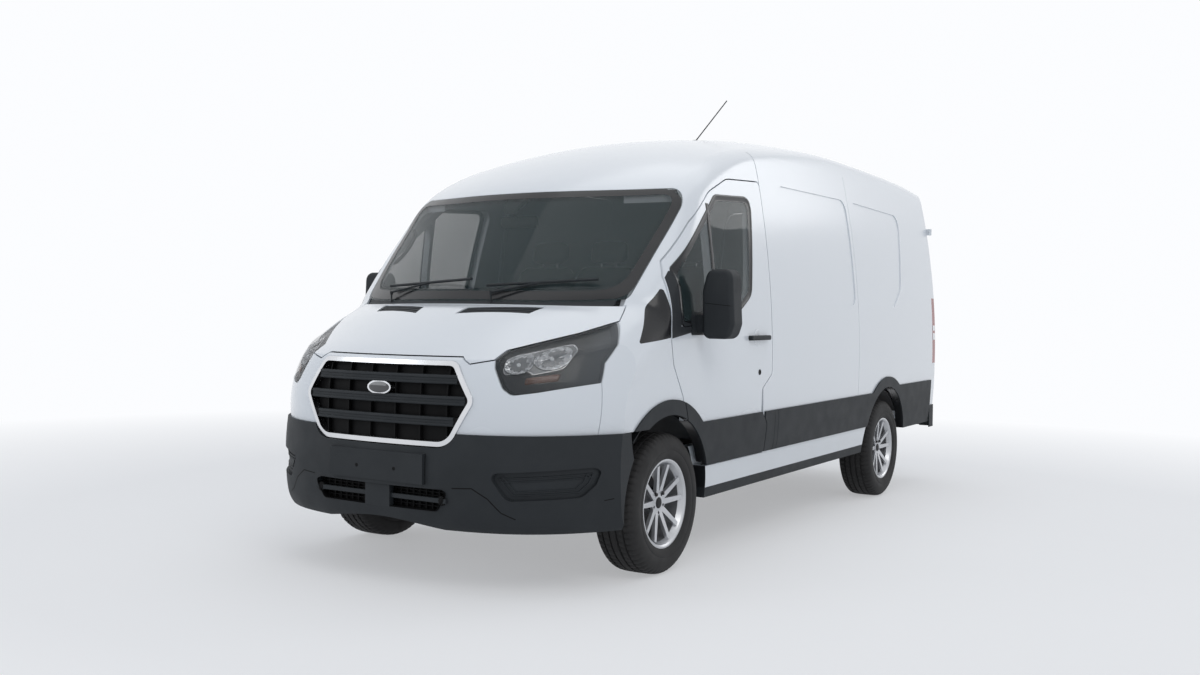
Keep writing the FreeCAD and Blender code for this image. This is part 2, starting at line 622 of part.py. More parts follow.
def make_door_cladding():
    strip = band(100, 1200, CLADDING_LOW_Z, CLADDING_TOP_Z)
    ring = front_flare.common(band(100, 600, CLADDING_LOW_Z, 1000))
    region = strip.fuse(ring).cut(front_arch).common(side_prism(DOOR_LINE, INNER_X, FAR))
    return biggest(clad(region))


def make_side_cladding():
    fore = clad(front_flare.cut(front_arch).common(band(-437, 200, BUMPER_TOP_Z, 1000)).cut(door_hole))
    strip = band(1085, REAR_AXLE_Y, CLADDING_LOW_Z, CLADDING_TOP_Z).cut(door_hole)
    tail = band(REAR_AXLE_Y, REAR_CORNER_Y, LOWER_EDGE_Z, 765)
    ring = rear_flare.common(band(2500, 4300, CLADDING_LOW_Z, 1000))
    rear = biggest(clad(strip.fuse([tail, ring]).cut(rear_arch)))
    under = block(885, FAR, 200, REAR_AXLE_Y, SKIRT_Z, SILL_STRIP_Z).common(OUTER)
    under = biggest(under.cut(front_arch).cut(rear_arch))
    return group([s for piece in (biggest(fore), rear, under) for s in pair(piece)])


def make_door_handle():
    """Bridge handle: its ends sit on the door and the hand goes in behind its middle."""
    grip = side_prism([(854, 1143, 10), (1106, 1143, 10), (1106, 1170, 10), (854, 1170, 10)], 990, 1044)
    grip = grip.makeFillet(6, [e for e in grip.Edges if e.BoundBox.XMin > 1043]).cut(OUTER)
    grip = grip.cut(band(884, 1076, 1140, 1175).common(CLAD))
    grip.translate(V(SEAT_GAP, 0, 0))
    return biggest(grip)


def make_sail_panels():
    sail = biggest(wall(sail_tool, INNER_GLASS))
    sail.translate(V(SEAT_GAP, 0, 0))
    return group(pair(sail))


# Nose
GRILLE_FRAME = 22.0
GRILLE_DEPTH = 34.0


def nose_layer(outer, inner, region):
    """Part of a region between two depths behind the nose's curve."""
    front = bowed_form(NOSE_LINE, outer, 1100.0, 0.0)
    back = bowed_form(NOSE_LINE, inner, 1100.0, 0.0)
    return region.common(front).cut(back)


def make_grille():
    """Bars, fins and backing as one piece; frame and plain oval badge as the other."""
    inside = front_prism(GRILLE_LINE, -1200, -600, -GRILLE_FRAME - SEAT_GAP)
    slabs = [block(-600, 600, -1200, -600, z, z + 37) for z in (966, 871, 776)]
    bars = nose_layer(-2.0, GRILLE_DEPTH + 2, slabs[0].fuse(slabs[1:]).common(inside))
    backing = nose_layer(GRILLE_DEPTH, GRILLE_DEPTH + 6, inside)
    fins = [block(x - 4, x + 4, -1200, -600, 600, 1100) for x in (-367, -222, -77, 77, 222, 367)]
    fins = nose_layer(14.0, GRILLE_DEPTH + 2, fins[0].fuse(fins[1:]).common(inside))
    grille = bars.fuse([backing, fins]).removeSplitter()
    ring = front_prism(GRILLE_LINE, -1200, -300, -SEAT_GAP).cut(front_prism(GRILLE_LINE, -1200, -200, -GRILLE_FRAME))
    ring = nose_layer(-9.0, 30.0, ring)
    badge = Part.Face(Part.Wire(Part.Ellipse(V(0, 0, 0), 72, 33).toShape()))
    badge.rotate(V(0, 0, 0), V(1, 0, 0), 90)
    badge.translate(V(0, -1100, 937))
    badge = nose_layer(-14.0, GRILLE_DEPTH - SEAT_GAP, badge.extrude(V(0, 300, 0)))
    slots = [block(-600, 600, -1200, -600, z - SEAT_GAP, z + 37 + SEAT_GAP) for z in (966, 871)]
    return grille, group([ring, biggest(badge.cut(group(slots)))])


def make_front_bumper():
    keep = block(-1027, 1027, -1200, -400, BUMPER_LOW_Z, BUMPER_TOP_Z)
    shape = keep.common(bumper_form).cut(bowed_form(NOSE_LINE, 26.0, 1100.0, 600.0))
    shape = shape.cut(front_prism(GRILLE_LINE, -1200, -600, 5.0)).cut(group(pair(front_arch)))
    intake = [(415, 490, 25), (345, 388, 30), (-345, 388, 30), (-415, 490, 25)]
    shape = shape.cut(front_prism(intake, -1100, -850))
    pocket = [(590, 575, 25), (985, 600, 25), (965, 520, 40), (925, 465, 40), (670, 452, 40)]
    pocket = front_prism(pocket, -1100, -300).cut(bowed_form(BUMPER_LINE, POCKET_DEPTH, 1100.0, 600.0))
    shape = shape.cut(group(pair(pocket)))
    pad = block(-285, 285, PLATE_FACE_Y, -1000, 508, 646).cut(bowed_form(BUMPER_LINE, 20.0, 1100.0, 600.0))
    bar = block(-400, 400, -1000, -985, 430, 450)
    middle = block(-75, 75, -1010, -980, 386, 495)
    return biggest(shape.fuse([pad, bar, middle]).removeSplitter())


PLATE_FACE_Y = -1027.0
POCKET_DEPTH = 24.0


def make_lamps():
    region = lamp_tool(0.0)
    lens = biggest(wall(region, INNER_GLASS))
    rim = region.cut(lamp_tool(-6.0)).common(INNER_GLASS).cut(INNER_SIDE)
    back = region.common(INNER_PANEL).cut(INNER_SIDE)
    flange = lamp_tool(12.0).cut(lamp_tool(-1.0)).common(INNER_PANEL).cut(INNER_SIDE).cut(bonnet_gap)
    housing = biggest(back.fuse([rim, flange]).removeSplitter())
    housing.translate(V(-SEAT_GAP, SEAT_GAP, -SEAT_GAP / 2))
    return group(pair(housing)), group(pair(lens))


def make_windshield():
    glass = wall(screen_tool(0.0), INNER_GLASS)
    glass.translate(V(0, -SEAT_GAP, SEAT_GAP))
    return glass


# Floor, rails and wheel boxes
RAIL_X0, RAIL_X1 = 380.0, 460.0
RAIL_LOW_Z = 440.0
FLOOR_LOW_Z = FLOOR_Z - FLOOR_THICK
WHEEL_BOX_X = 735.0
CAB_FLOOR_Z = FLOOR_Z - 2.0
CAB_FLOOR_END_Y = 1160.0
JACK_PAD_Z = RAIL_LOW_Z - 4.0
BOX_SEAT = 3.0
FLOOR_HALF = 951.5
BEAM_YS = (1240.0, 2560.0, 3560.0)
LINER_Y = -20.0
SHELF_Z = 1240.0
SHELF_THICK = 15.0
FIREWALL_Y = 150.0
FIREWALL_BACK_Y = 175.0


def make_floor():
    joint_y = B_SEAM_Y + 60 + SEAT_GAP
    plate = block(-540, 540, FIREWALL_BACK_Y, 460, FLOOR_LOW_Z, FLOOR_Z)
    cab = block(-870 + SEAT_GAP, 870 - SEAT_GAP, 460, joint_y, FLOOR_LOW_Z, FLOOR_Z)
    load = block(-FLOOR_HALF, FLOOR_HALF, joint_y, BODY_END_Y - SIDE_WALL - 8, FLOOR_LOW_Z, FLOOR_Z)
    hollow = cross_cylinder(REAR_AXLE_Y, REAR_AXLE_Z, 420, WHEEL_BOX_X, FAR)
    box = cross_cylinder(REAR_AXLE_Y, REAR_AXLE_Z, 430, WHEEL_BOX_X - 10, FAR)
    box = box.common(block(0, FLOOR_HALF, 2000, 4600, FLOOR_Z - BOX_SEAT, 1200)).cut(hollow)
    rails = [block(x, x + RAIL_X1 - RAIL_X0, -840, BODY_END_Y - 80, RAIL_LOW_Z, FLOOR_LOW_Z) for x in (RAIL_X0, -RAIL_X1)]
    beams = [block(-RAIL_X0, RAIL_X0, y, y + 60, RAIL_LOW_Z + 30, FLOOR_LOW_Z) for y in BEAM_YS]
    pads = pair(block(RAIL_X0 + 10, RAIL_X1 - 10, 1340, 1460, JACK_PAD_Z, RAIL_LOW_Z))
    step = block(-FAR, FAR, 0, CAB_FLOOR_END_Y, CAB_FLOOR_Z, FLOOR_Z + 10)
    pan = plate.fuse([cab, load] + rails + beams + pads).cut(group(pair(hollow) + pair(box) + [step]))
    return group([pan.removeSplitter()] + pair(box))


def make_firewall():
    plate = block(-930, 930, FIREWALL_Y, FIREWALL_BACK_Y, CAB_FLOOR_Z, SHELF_Z)
    wheel = cross_cylinder(LINER_Y, TYRE_RADIUS, LINER_RADIUS + LINER_THICK + 1, 545, FAR)
    shelf = block(-800, 800, -300, FIREWALL_BACK_Y, SHELF_Z, SHELF_Z + SHELF_THICK)
    return plate.cut(group(pair(wheel))).fuse(shelf).removeSplitter()


def make_liners():
    ring = cross_cylinder(LINER_Y, TYRE_RADIUS, LINER_RADIUS + LINER_THICK, 560, 980)
    ring = ring.cut(cross_cylinder(LINER_Y, TYRE_RADIUS, LINER_RADIUS, 500, FAR))
    ring = ring.common(block(0, FAR, -400, 600, RAIL_LOW_Z, 900))
    ring = ring.cut(block(868, FAR, 200, 600, 300, 640)).cut(block(940, FAR, 60, 600, 300, 1000))
    ring = ring.cut(block(INNER_X, FAR, -500, -330, 300, BUMPER_TOP_Z + 2))
    return group(pair(biggest(ring)))


# Wheels and running gear
RIM_SEAT = 211.7
HUB_FACE_X = 10.0
SPOKE_PAIRS = 5


def make_tyre():
    half = TYRE_WIDTH / 2
    return revolved([(212, -92), (290, -half), (TYRE_RADIUS, -82), (TYRE_RADIUS, 82), (290, half), (212, 92)])


def make_rim():
    """Wheel about the X axis, outer face towards +X."""
    shape = revolved([(RIM_RADIUS, 102), (RIM_RADIUS, 96.8), (RIM_SEAT, 92.7), (RIM_SEAT, -92.7), (RIM_RADIUS, -96.8),
                      (RIM_RADIUS, -102), (200, -96), (190, -60), (190, 70), (204, 95), (212, 102)])
    hub = Part.makeCylinder(62, 55, V(HUB_FACE_X, 0, 0), V(1, 0, 0))
    outline = [V(45, -15, 30), V(45, 15, 30), V(72, 11, 194), V(72, -11, 194), V(45, -15, 30)]
    spokes = []
    for i in range(SPOKE_PAIRS):
        for side in (-1, 1):
            spoke = Part.Face(Part.makePolygon(outline)).extrude(V(18, 0, 0))
            spoke.rotate(V(0, 0, 0), V(1, 0, 0), side * 15 + i * 360 / SPOKE_PAIRS)
            spokes.append(spoke)
    shape = shape.fuse([hub] + spokes)
    for i in range(SPOKE_PAIRS):
        hole = Part.makeCylinder(8, 60, V(40, 0, 48), V(1, 0, 0))
        hole.rotate(V(0, 0, 0), V(1, 0, 0), (i + 0.5) * 360 / SPOKE_PAIRS)
        shape = shape.cut(hole)
    return shape.removeSplitter()


def make_knuckle():
    """Left front upright with hub, brake disc, calliper and strut."""
    z = TYRE_RADIUS
    hub = Part.makeCylinder(60, TRACK / 2 + HUB_FACE_X - SEAT_GAP - 770, V(770, 0, z), V(1, 0, 0))
    disc = Part.makeCylinder(150, 24, V(815, 0, z), V(1, 0, 0))
    upright = block(775, 815, -45, 45, 205, z + 60)
    calliper = block(795, 860, 90, 165, z - 60, z + 60)
    carrier = block(775, 812, 0, 120, z - 40, z + 40)
    link = block(700, 815, -30, 30, z + 30, z + 70)
    strut = Part.makeCylinder(27, 390, V(712, 0, z + 30), V(0, 0, 1))
    coil = Part.makeCylinder(50, 58, V(712, 0, 715), V(0, 0, 1))
    return upright.fuse([hub, disc, calliper, carrier, link, strut, coil]).removeSplitter()


def make_front_suspension():
    beam = block(-430, 430, -120, 120, 230, 330)
    posts = [block(x - 30, x + 30, y - 30, y + 30, 330, RAIL_LOW_Z) for x in (-420, 420) for y in (-90, 90)]
    outline = [V(400, -110, 180), V(400, 160, 180), V(770, 32, 180), V(810, 0, 180), V(770, -32, 180), V(400, -110, 180)]
    arm = Part.Face(Part.makePolygon(outline)).extrude(V(0, 0, 24))
    foot = block(400, 430, -110, 110, 180, 240)
    return beam.fuse(posts + pair(arm.fuse(foot))).removeSplitter()


def make_rear_axle():
    y, z = REAR_AXLE_Y, REAR_AXLE_Z
    reach = TRACK / 2 + HUB_FACE_X - SEAT_GAP
    tube = cross_cylinder(y, z, 42, -reach, reach)
    case = revolved([(60, -150), (125, -90), (150, 0), (125, 90), (60, 150), (30, 150), (30, -150)])
    case.translate(V(0, y, z))
    drums = pair(cross_cylinder(y, z, 150, 800, 850))
    nose = Part.makeCylinder(55, 200, V(0, y - 300, z), V(0, 1, 0))
    pads = pair(block(465, 545, y - 55, y + 55, z - 50, z))
    return tube.fuse([case, nose] + drums + pads).removeSplitter()


def make_leaf_springs():
    """Bowed leaf under the axle, with a hanger at each end on the rail's side."""
    low, eye_z = REAR_AXLE_Z - 70, RAIL_LOW_Z - 40
    front_y, back_y = REAR_AXLE_Y - 640, REAR_AXLE_Y + 680
    upper = Part.Arc(V(470, front_y, eye_z), V(470, REAR_AXLE_Y, low), V(470, back_y, eye_z)).toShape()
    lower = Part.Arc(V(470, back_y, eye_z - 22), V(470, REAR_AXLE_Y, low - 22), V(470, front_y, eye_z - 22)).toShape()
    back = Part.LineSegment(V(470, back_y, eye_z), V(470, back_y, eye_z - 22)).toShape()
    front = Part.LineSegment(V(470, front_y, eye_z - 22), V(470, front_y, eye_z)).toShape()
    leaf = Part.Face(Part.Wire([upper, back, lower, front])).extrude(V(70, 0, 0))
    seat = block(470, 540, REAR_AXLE_Y - 60, REAR_AXLE_Y + 60, low - 10, REAR_AXLE_Z - 50)
    hangers = [block(RAIL_X1, 555, y, y + 70, eye_z - 50, RAIL_LOW_Z + 90) for y in (front_y - 50, back_y - 20)]
    return group(pair(leaf.fuse([seat] + hangers).removeSplitter()))


def make_drive_shaft():
    start, end = V(0, 600, 400), V(0, REAR_AXLE_Y - 280, REAR_AXLE_Z)
    way = end.sub(start)
    shaft = Part.makeCylinder(38, way.Length, start, way)
    return shaft.common(block(-60, 60, 620 + SEAT_GAP, REAR_AXLE_Y - 300 - SEAT_GAP, 200, 600))


def make_engine():
    """One block for the engine, with its gearbox, resting on the front beam."""
    engine = block(-290, 290, -720, -60, 330, 960)
    gearbox = block(-140, 140, -60, 620, 335, 545)
    return engine.fuse(gearbox).removeSplitter()


def make_exhaust():
    pipe = Part.makeCylinder(28, 2300, V(-250, 560, 400), V(0, 1, 0))
    silencer = front_prism([(-345, 330, 45), (-165, 330, 45), (-165, 468, 45), (-345, 468, 45)], 1500, 2200)
    hangers = [block(-262, -238, y + 20, y + 40, 400, RAIL_LOW_Z + 30 - SEAT_GAP) for y in BEAM_YS[:2]]
    return pipe.fuse([silencer] + hangers).removeSplitter()


def make_fuel_tank():
    top = FLOOR_LOW_Z - SEAT_GAP
    return front_prism([(480, 330, 50), (850, 330, 50), (850, top, 20), (480, top, 20)], 1250, 2250)


def make_spare_wheel():
    tyre = revolved([(190, -100), (300, -112), (328, -100), (340, -60), (340, 60), (328, 100), (300, 112), (190, 100)])
    tyre = tyre.fuse(Part.makeCylinder(195, 60, V(-20, 0, 0), V(1, 0, 0)))
    tyre.rotate(V(0, 0, 0), V(0, 1, 0), -90)
    tyre.translate(V(0, 4010, 430))
    hook = Part.makeCylinder(20, FLOOR_LOW_Z - SEAT_GAP - 450, V(0, 4010, 450), V(0, 0, 1))
    return tyre.fuse(hook).removeSplitter()


# Cab
SEAT_X = 410.0
WHEEL_CENTRE = V(410, 520, 1190)
COLUMN_TILT = 38.0
STEERING_R = 190.0
STEERING_GRIP_R = 16.0


def make_seat(x0, x1, rests):
    base = block(x0 + 40, x1 - 40, 700, 1120, CAB_FLOOR_Z, 850)
    cushion = [(650, 840, 30), (1120, 820, 20), (1170, 930, 40), (1080, 955, 60), (720, 965, 60), (640, 930, 30)]
    back = [(1105, 860, 20), (1190, 850, 30), (1320, 1530, 45), (1225, 1560, 40), (1120, 1150, 200)]
    shapes = [base, side_prism(cushion, x0, x1), side_prism(back, x0, x1)]
    for x in rests:
        shapes.append(side_prism([(1250, 1600, 35), (1335, 1600, 35), (1350, 1738, 35), (1275, 1738, 35)], x - 122, x + 122))
        shapes.append(block(x - 45, x + 45, 1280, 1294, 1500, 1620))
    return shapes[0].fuse(shapes[1:]).removeSplitter()


def make_dashboard():
    """Dash over the firewall with the column's cowl."""
    low, front_y = SHELF_Z + SHELF_THICK + SEAT_GAP, FIREWALL_BACK_Y + SEAT_GAP
    edge = [(-100, low), (-100, 1318), (150, 1322, 120), (350, 1240, 60), (400, 1130, 50), (330, 880, 60),
            (230, 820, 30), (front_y, 820), (front_y, low)]
    fore = [(-290, low), (-290, 1300, 15), (-90, 1318), (-90, low)]
    way = V(0, -math.cos(math.radians(COLUMN_TILT)), -math.sin(math.radians(COLUMN_TILT)))
    start = WHEEL_CENTRE.add(V(way.x, way.y, way.z).multiply(70 + SEAT_GAP))
    column = Part.makeCylinder(42, 170, start, way)
    return side_prism(edge, -925, 925).fuse([side_prism(fore, -690, 690), column]).removeSplitter()


def make_steering_wheel():
    """Rim, three spokes and hub about Z, then leaned to the column."""
    grip = [(STEERING_R + STEERING_GRIP_R * math.cos(a), STEERING_GRIP_R * math.sin(a))
            for a in [math.radians(36 * i) for i in range(10)]]
    rim = revolved(grip)
    rim.rotate(V(0, 0, 0), V(0, 1, 0), -90)
    hub = Part.makeCylinder(55, 40, V(0, 0, -30), V(0, 0, 1))
    shaft = Part.makeCylinder(20, 50, V(0, 0, -70), V(0, 0, 1))
    spokes = [block(20, STEERING_R - 4, -18, 18, -12, 4) for _ in range(3)]
    for spoke, angle in zip(spokes, (0, 180, 270)):
        spoke.rotate(V(0, 0, 0), V(0, 0, 1), angle)
    shape = rim.fuse([hub, shaft] + spokes).removeSplitter()
    shape.rotate(V(0, 0, 0), V(1, 0, 0), COLUMN_TILT - 90)
    shape.translate(WHEEL_CENTRE)
    return shape


# Small outside pieces
def make_mirror():
    """Left mirror: tall head on a stub arm, with its foot on the door."""
    head = front_prism([(1062, 1165, 40), (1212, 1165, 50), (1237, 1240, 60), (1222, 1515, 50), (1085, 1515, 50),
                        (1058, 1400, 60)], 195, 300)
    head = head.makeFillet(22, [e for e in head.Edges if e.BoundBox.YMax < 196])
    arm = block(990, 1080, 215, 280, 1195, 1285)
    foot = clad(side_prism([(170, 1182, 10), (180, 1300, 20), (320, 1300, 20), (320, 1182, 10)], INNER_X, FAR))
    foot.translate(V(SEAT_GAP, 0, 0))
    arm = biggest(arm.cut(OUTER))
    arm.translate(V(2 * SEAT_GAP, 0, 0))
    return biggest(head.fuse([arm, foot]).removeSplitter())


def make_antenna():
    foot = Part.makeCylinder(24, 40, V(0, 2143, 2435), V(0, 0.1, 1)).cut(OUTER)
    whip = Part.makeCylinder(4, 600, V(0, 2146, 2470), V(0, 490, 357))
    return biggest(foot.fuse(whip))


def screen_point(x, run, lift):
    """Point over the glass, run measured rearward from its base on the centre plane."""
    bow = 0.000378 * x * x
    return V(x, SCREEN_BASE_Y + run + bow - lift * 0.72, 1349.0 + run * 1.12 + lift * 0.72)


def make_wipers():
    """Each wiper is a blade just over the glass, an arm, and a spindle that stands on the cowl."""
    shapes = []
    for x0, x1, run in ((-560, 60, 40), (170, 700, 40)):
        start, end = screen_point(x0, run, 38), screen_point(x1, run + 30, 38)
        way = end.sub(start)
        blade = Part.makeCylinder(7, way.Length, start, way)
        foot = screen_point(x0 + 40, -11, 0)
        top = V(foot.x, foot.y, foot.z + 50)
        spindle = Part.makeCylinder(4.5, 90, V(foot.x, foot.y, foot.z - 40), V(0, 0, 1))
        hub = Part.makeCylinder(8, 18, V(foot.x, foot.y, foot.z + 38), V(0, 0, 1))
        reach = start.add(V(way.x, way.y, way.z).multiply(0.5)).sub(top)
        arm = Part.makeCylinder(5.5, reach.Length, top, reach)
        shapes.append(biggest(blade.fuse([spindle, hub, arm]).cut(INNER_GLASS)))
    wipers = group(shapes)
    wipers.translate(V(0, 0, SEAT_GAP + 0.1))
    return wipers


# Assembly: what is fixed to the raked body turns about the front axle
pieces = []


def add(name, shape, raked=True):
    moved = shape.copy()
    if raked:
        moved.rotate(V(0, 0, TYRE_RADIUS), V(1, 0, 0), RAKE_DEG)
    pieces.append((name, moved))


left_side, right_side, load_door = make_sides()
lamp_housings, lamp_lenses = make_lamps()
grille, grille_surround = make_grille()
left_rear_door, right_rear_door = make_rear_doors()
add("roof", make_roof())
add("cab_frame", make_cab_frame())
add("front_wings", make_front_wings())
add("nose_panel", make_nose_panel())
add("bonnet", make_bonnet())
add("bonnet_vents", make_bonnet_vents())
add("cowl_panel", make_cowl())
add("left_side", left_side)
add("right_side", right_side)
add("load_door", load_door)
add("sills", make_sills())
add("rear_frame", make_rear_frame())
add("left_rear_door", left_rear_door)
add("right_rear_door", right_rear_door)
add("tail_lamps", make_tail_lamps())
add("rear_bumper", make_rear_bumper())
for name, shape, raked in (
        ("door", make_front_door(), True), ("door_glass", make_door_glass(), True),
        ("door_trim", group([make_door_cladding(), make_door_handle()]), True), ("mirror", make_mirror(), True),
        ("knuckle", make_knuckle(), False)):
    add("left_" + name, shape, raked)
    add("right_" + name, mirrored(shape), raked)
add("side_cladding", make_side_cladding())
add("sail_panels", make_sail_panels())
add("front_bumper", make_front_bumper())
add("radiator_grille", grille)
add("grille_surround", grille_surround)
add("lamp_housings", lamp_housings)
add("lamp_lenses", lamp_lenses)
add("windshield", make_windshield())
add("floor_pan", make_floor())
add("firewall", make_firewall())
add("wheel_liners", make_liners())
add("front_suspension", make_front_suspension())
add("rear_axle", make_rear_axle())
add("leaf_springs", make_leaf_springs())
add("drive_shaft", make_drive_shaft())
add("engine_block", make_engine())
add("exhaust", make_exhaust())
add("fuel_tank", make_fuel_tank())
add("spare_wheel", make_spare_wheel())
add("driver_seat", make_seat(SEAT_X - 250, SEAT_X + 250, [SEAT_X]))
add("passenger_seat", make_seat(-840, 60, [-590, -190]))
add("dashboard", make_dashboard())
add("steering_wheel", make_steering_wheel())
add("antenna", make_antenna())
add("wipers", make_wipers())
for corner, y in (("front", 0.0), ("rear", WHEELBASE)):
    for part_name, shape in (("tyre", make_tyre()), ("rim", make_rim())):
        shape.translate(V(TRACK / 2, y, TYRE_RADIUS))
        add(corner + "_left_" + part_name, shape, False)
        add(corner + "_right_" + part_name, mirrored(shape), False)

# The origin lies under mid length, half way between the two bumpers' tips
bumpers = {name: shape.optimalBoundingBox(False, False) for name, shape in pieces if name.endswith("bumper")}
shift = -(bumpers["front_bumper"].YMin + bumpers["rear_bumper"].YMax) / 2
os.makedirs("parts", exist_ok=True)
for name, shape in pieces:
    shape.translate(V(0, shift, 0))
    shape.exportStep("parts/" + name + ".step")
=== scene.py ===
import bpy
import bmesh
import json
import math
from mathutils import Matrix, Vector
from mathutils.bvhtree import BVHTree


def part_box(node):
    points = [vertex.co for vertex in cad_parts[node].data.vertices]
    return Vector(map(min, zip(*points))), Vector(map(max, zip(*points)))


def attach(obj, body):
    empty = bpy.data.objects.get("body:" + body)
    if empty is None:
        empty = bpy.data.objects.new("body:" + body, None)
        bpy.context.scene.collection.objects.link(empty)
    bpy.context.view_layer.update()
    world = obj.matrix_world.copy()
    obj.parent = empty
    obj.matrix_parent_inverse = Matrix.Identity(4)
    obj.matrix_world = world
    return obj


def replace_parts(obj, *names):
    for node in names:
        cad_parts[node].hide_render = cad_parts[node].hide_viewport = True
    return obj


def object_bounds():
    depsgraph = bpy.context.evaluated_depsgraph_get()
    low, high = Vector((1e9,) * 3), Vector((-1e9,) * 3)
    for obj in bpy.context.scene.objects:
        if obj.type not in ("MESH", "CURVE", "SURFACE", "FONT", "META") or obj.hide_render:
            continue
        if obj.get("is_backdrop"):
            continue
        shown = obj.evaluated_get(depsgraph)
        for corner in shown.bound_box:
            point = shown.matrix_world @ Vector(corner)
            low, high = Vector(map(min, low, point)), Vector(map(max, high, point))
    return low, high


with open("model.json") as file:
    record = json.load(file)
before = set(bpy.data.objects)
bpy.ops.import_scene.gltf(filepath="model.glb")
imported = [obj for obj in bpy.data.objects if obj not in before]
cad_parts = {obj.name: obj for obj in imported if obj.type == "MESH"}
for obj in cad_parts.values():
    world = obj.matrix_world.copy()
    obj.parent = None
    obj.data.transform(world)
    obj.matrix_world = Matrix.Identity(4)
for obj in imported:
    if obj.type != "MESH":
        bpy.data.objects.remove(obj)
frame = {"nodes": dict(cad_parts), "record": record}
cad_low, cad_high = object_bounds()
nodes = frame["nodes"]


# Shader maths
class Value:
    """A socket that takes part in ordinary arithmetic."""

    def __init__(self, tree, socket):
        self.tree = tree
        self.socket = socket

    def maths(self, operation, *others, first=None):
        node = self.tree.nodes.new("ShaderNodeMath")
        node.operation = operation
        items = [self, *others] if first is None else [first, self]
        for index, item in enumerate(items):
            if isinstance(item, Value):
                self.tree.links.new(item.socket, node.inputs[index])
            else:
                node.inputs[index].default_value = item
        return Value(self.tree, node.outputs[0])

    def __add__(self, other):
        return self.maths("ADD", other)

    __radd__ = __add__

    def __sub__(self, other):
        return self.maths("SUBTRACT", other)

    def __rsub__(self, other):
        return self.maths("SUBTRACT", first=other)

    def __mul__(self, other):
        return self.maths("MULTIPLY", other)

    __rmul__ = __mul__

    def __truediv__(self, other):
        return self.maths("DIVIDE", other)

    def held(self):
        """Kept between 0 and 1."""
        return self.maths("MAXIMUM", 0.0).maths("MINIMUM", 1.0)

    def past(self, edge, softness):
        """0 below the edge, 1 above it, over a soft width."""
        return ((self - edge) / softness).held()

    def ripple(self, period):
        """Triangle wave from 0 to 1 with the given period."""
        return self.maths("PINGPONG", period / 2) * (2 / period)


class Nodes:
    """Adds nodes to a tree."""

    def __init__(self, tree):
        self.tree = tree

    def node(self, kind, settings=None, output=0, **sockets):
        """Any other node: its settings first, then the values or links of its sockets."""
        made = self.tree.nodes.new(kind)
        for key, value in (settings or {}).items():
            setattr(made, key, value)
        for name, value in sockets.items():
            socket = made.inputs[int(name[1:])] if name[1:].isdigit() else made.inputs[name]
            if isinstance(value, Value):
                self.tree.links.new(value.socket, socket)
            elif isinstance(value, bpy.types.NodeSocket):
                self.tree.links.new(value, socket)
            else:
                socket.default_value = value
        return Value(self.tree, made.outputs[output])

    def seen_rays(self):
        """1 for what is seen directly, in a reflection or through glass."""
        camera, glossy, through = (self.node("ShaderNodeLightPath", None, "Is " + kind + " Ray")
                                   for kind in ("Camera", "Glossy", "Transmission"))
        return camera.maths("MAXIMUM", glossy).maths("MAXIMUM", through)


# Black seal inside the wheel arches: a circle behind the tyre's centre, higher at the rear
ARCH_INNER_R = 0.4457
ARCH_EDGE = 0.0004
ARCH_BACK = 0.045
REAR_ARCH_RISE = 0.008
SEAL_BLACK = (0.014, 0.015, 0.017)
finishes = {}


class Finish(Nodes):
    """One surface finish, built from nodes around a Principled shader."""

    def __init__(self, name, base, **fixed):
        self.material = bpy.data.materials.new(name)
        self.material.use_nodes = True
        super().__init__(self.material.node_tree)
        self.shader = self.tree.nodes["Principled BSDF"]
        self.shader.inputs["Base Color"].default_value = (*base, 1)
        for socket, value in fixed.items():
            self.shader.inputs[socket.replace("_", " ")].default_value = value
        self.place = self.tree.nodes.new("ShaderNodeTexCoord").outputs["Object"]
        finishes[name] = self.material

    def axis(self, index):
        return self.node("ShaderNodeSeparateXYZ", None, index, Vector=self.place)

    def noise(self, scale, detail=4.0, rough=0.5):
        return self.node("ShaderNodeTexNoise", Vector=self.place, Scale=scale, Detail=detail, Roughness=rough)

    def cells(self, scale):
        return self.node("ShaderNodeTexVoronoi", Vector=self.place, Scale=scale)

    def mixed(self, share, low, high, socket=None):
        """Colour from low to high, fed to one of the shader's sockets if it is named."""
        low, high = ((*c, 1) if isinstance(c, tuple) else c for c in (low, high))
        mix = self.node("ShaderNodeMix", {"data_type": "RGBA"}, 2, _0=share, _6=low, _7=high)
        if socket:
            self.tree.links.new(mix.socket, self.shader.inputs[socket])
        return mix

    def colour(self, share, low, high):
        self.mixed(share, low, high, "Base Color")

    def in_arch(self, tyre, rise):
        """1 on what lies inside the wheel arch over a tyre, where the shell is sealed black."""
        low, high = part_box(tyre)
        y = self.axis(1) - ((low.y + high.y) / 2 - ARCH_BACK)
        z = self.axis(2) - ((low.z + high.z) / 2 + rise)
        return 1.0 - (y * y + z * z).maths("SQRT").past(ARCH_INNER_R, ARCH_EDGE)

    def roughness(self, share, low, high):
        self.tree.links.new((share * (high - low) + low).socket, self.shader.inputs["Roughness"])

    def relief(self, height, depth, strength=1.0):
        bump = self.node("ShaderNodeBump", Height=height, Distance=depth, Strength=strength)
        self.tree.links.new(bump.socket, self.shader.inputs["Normal"])


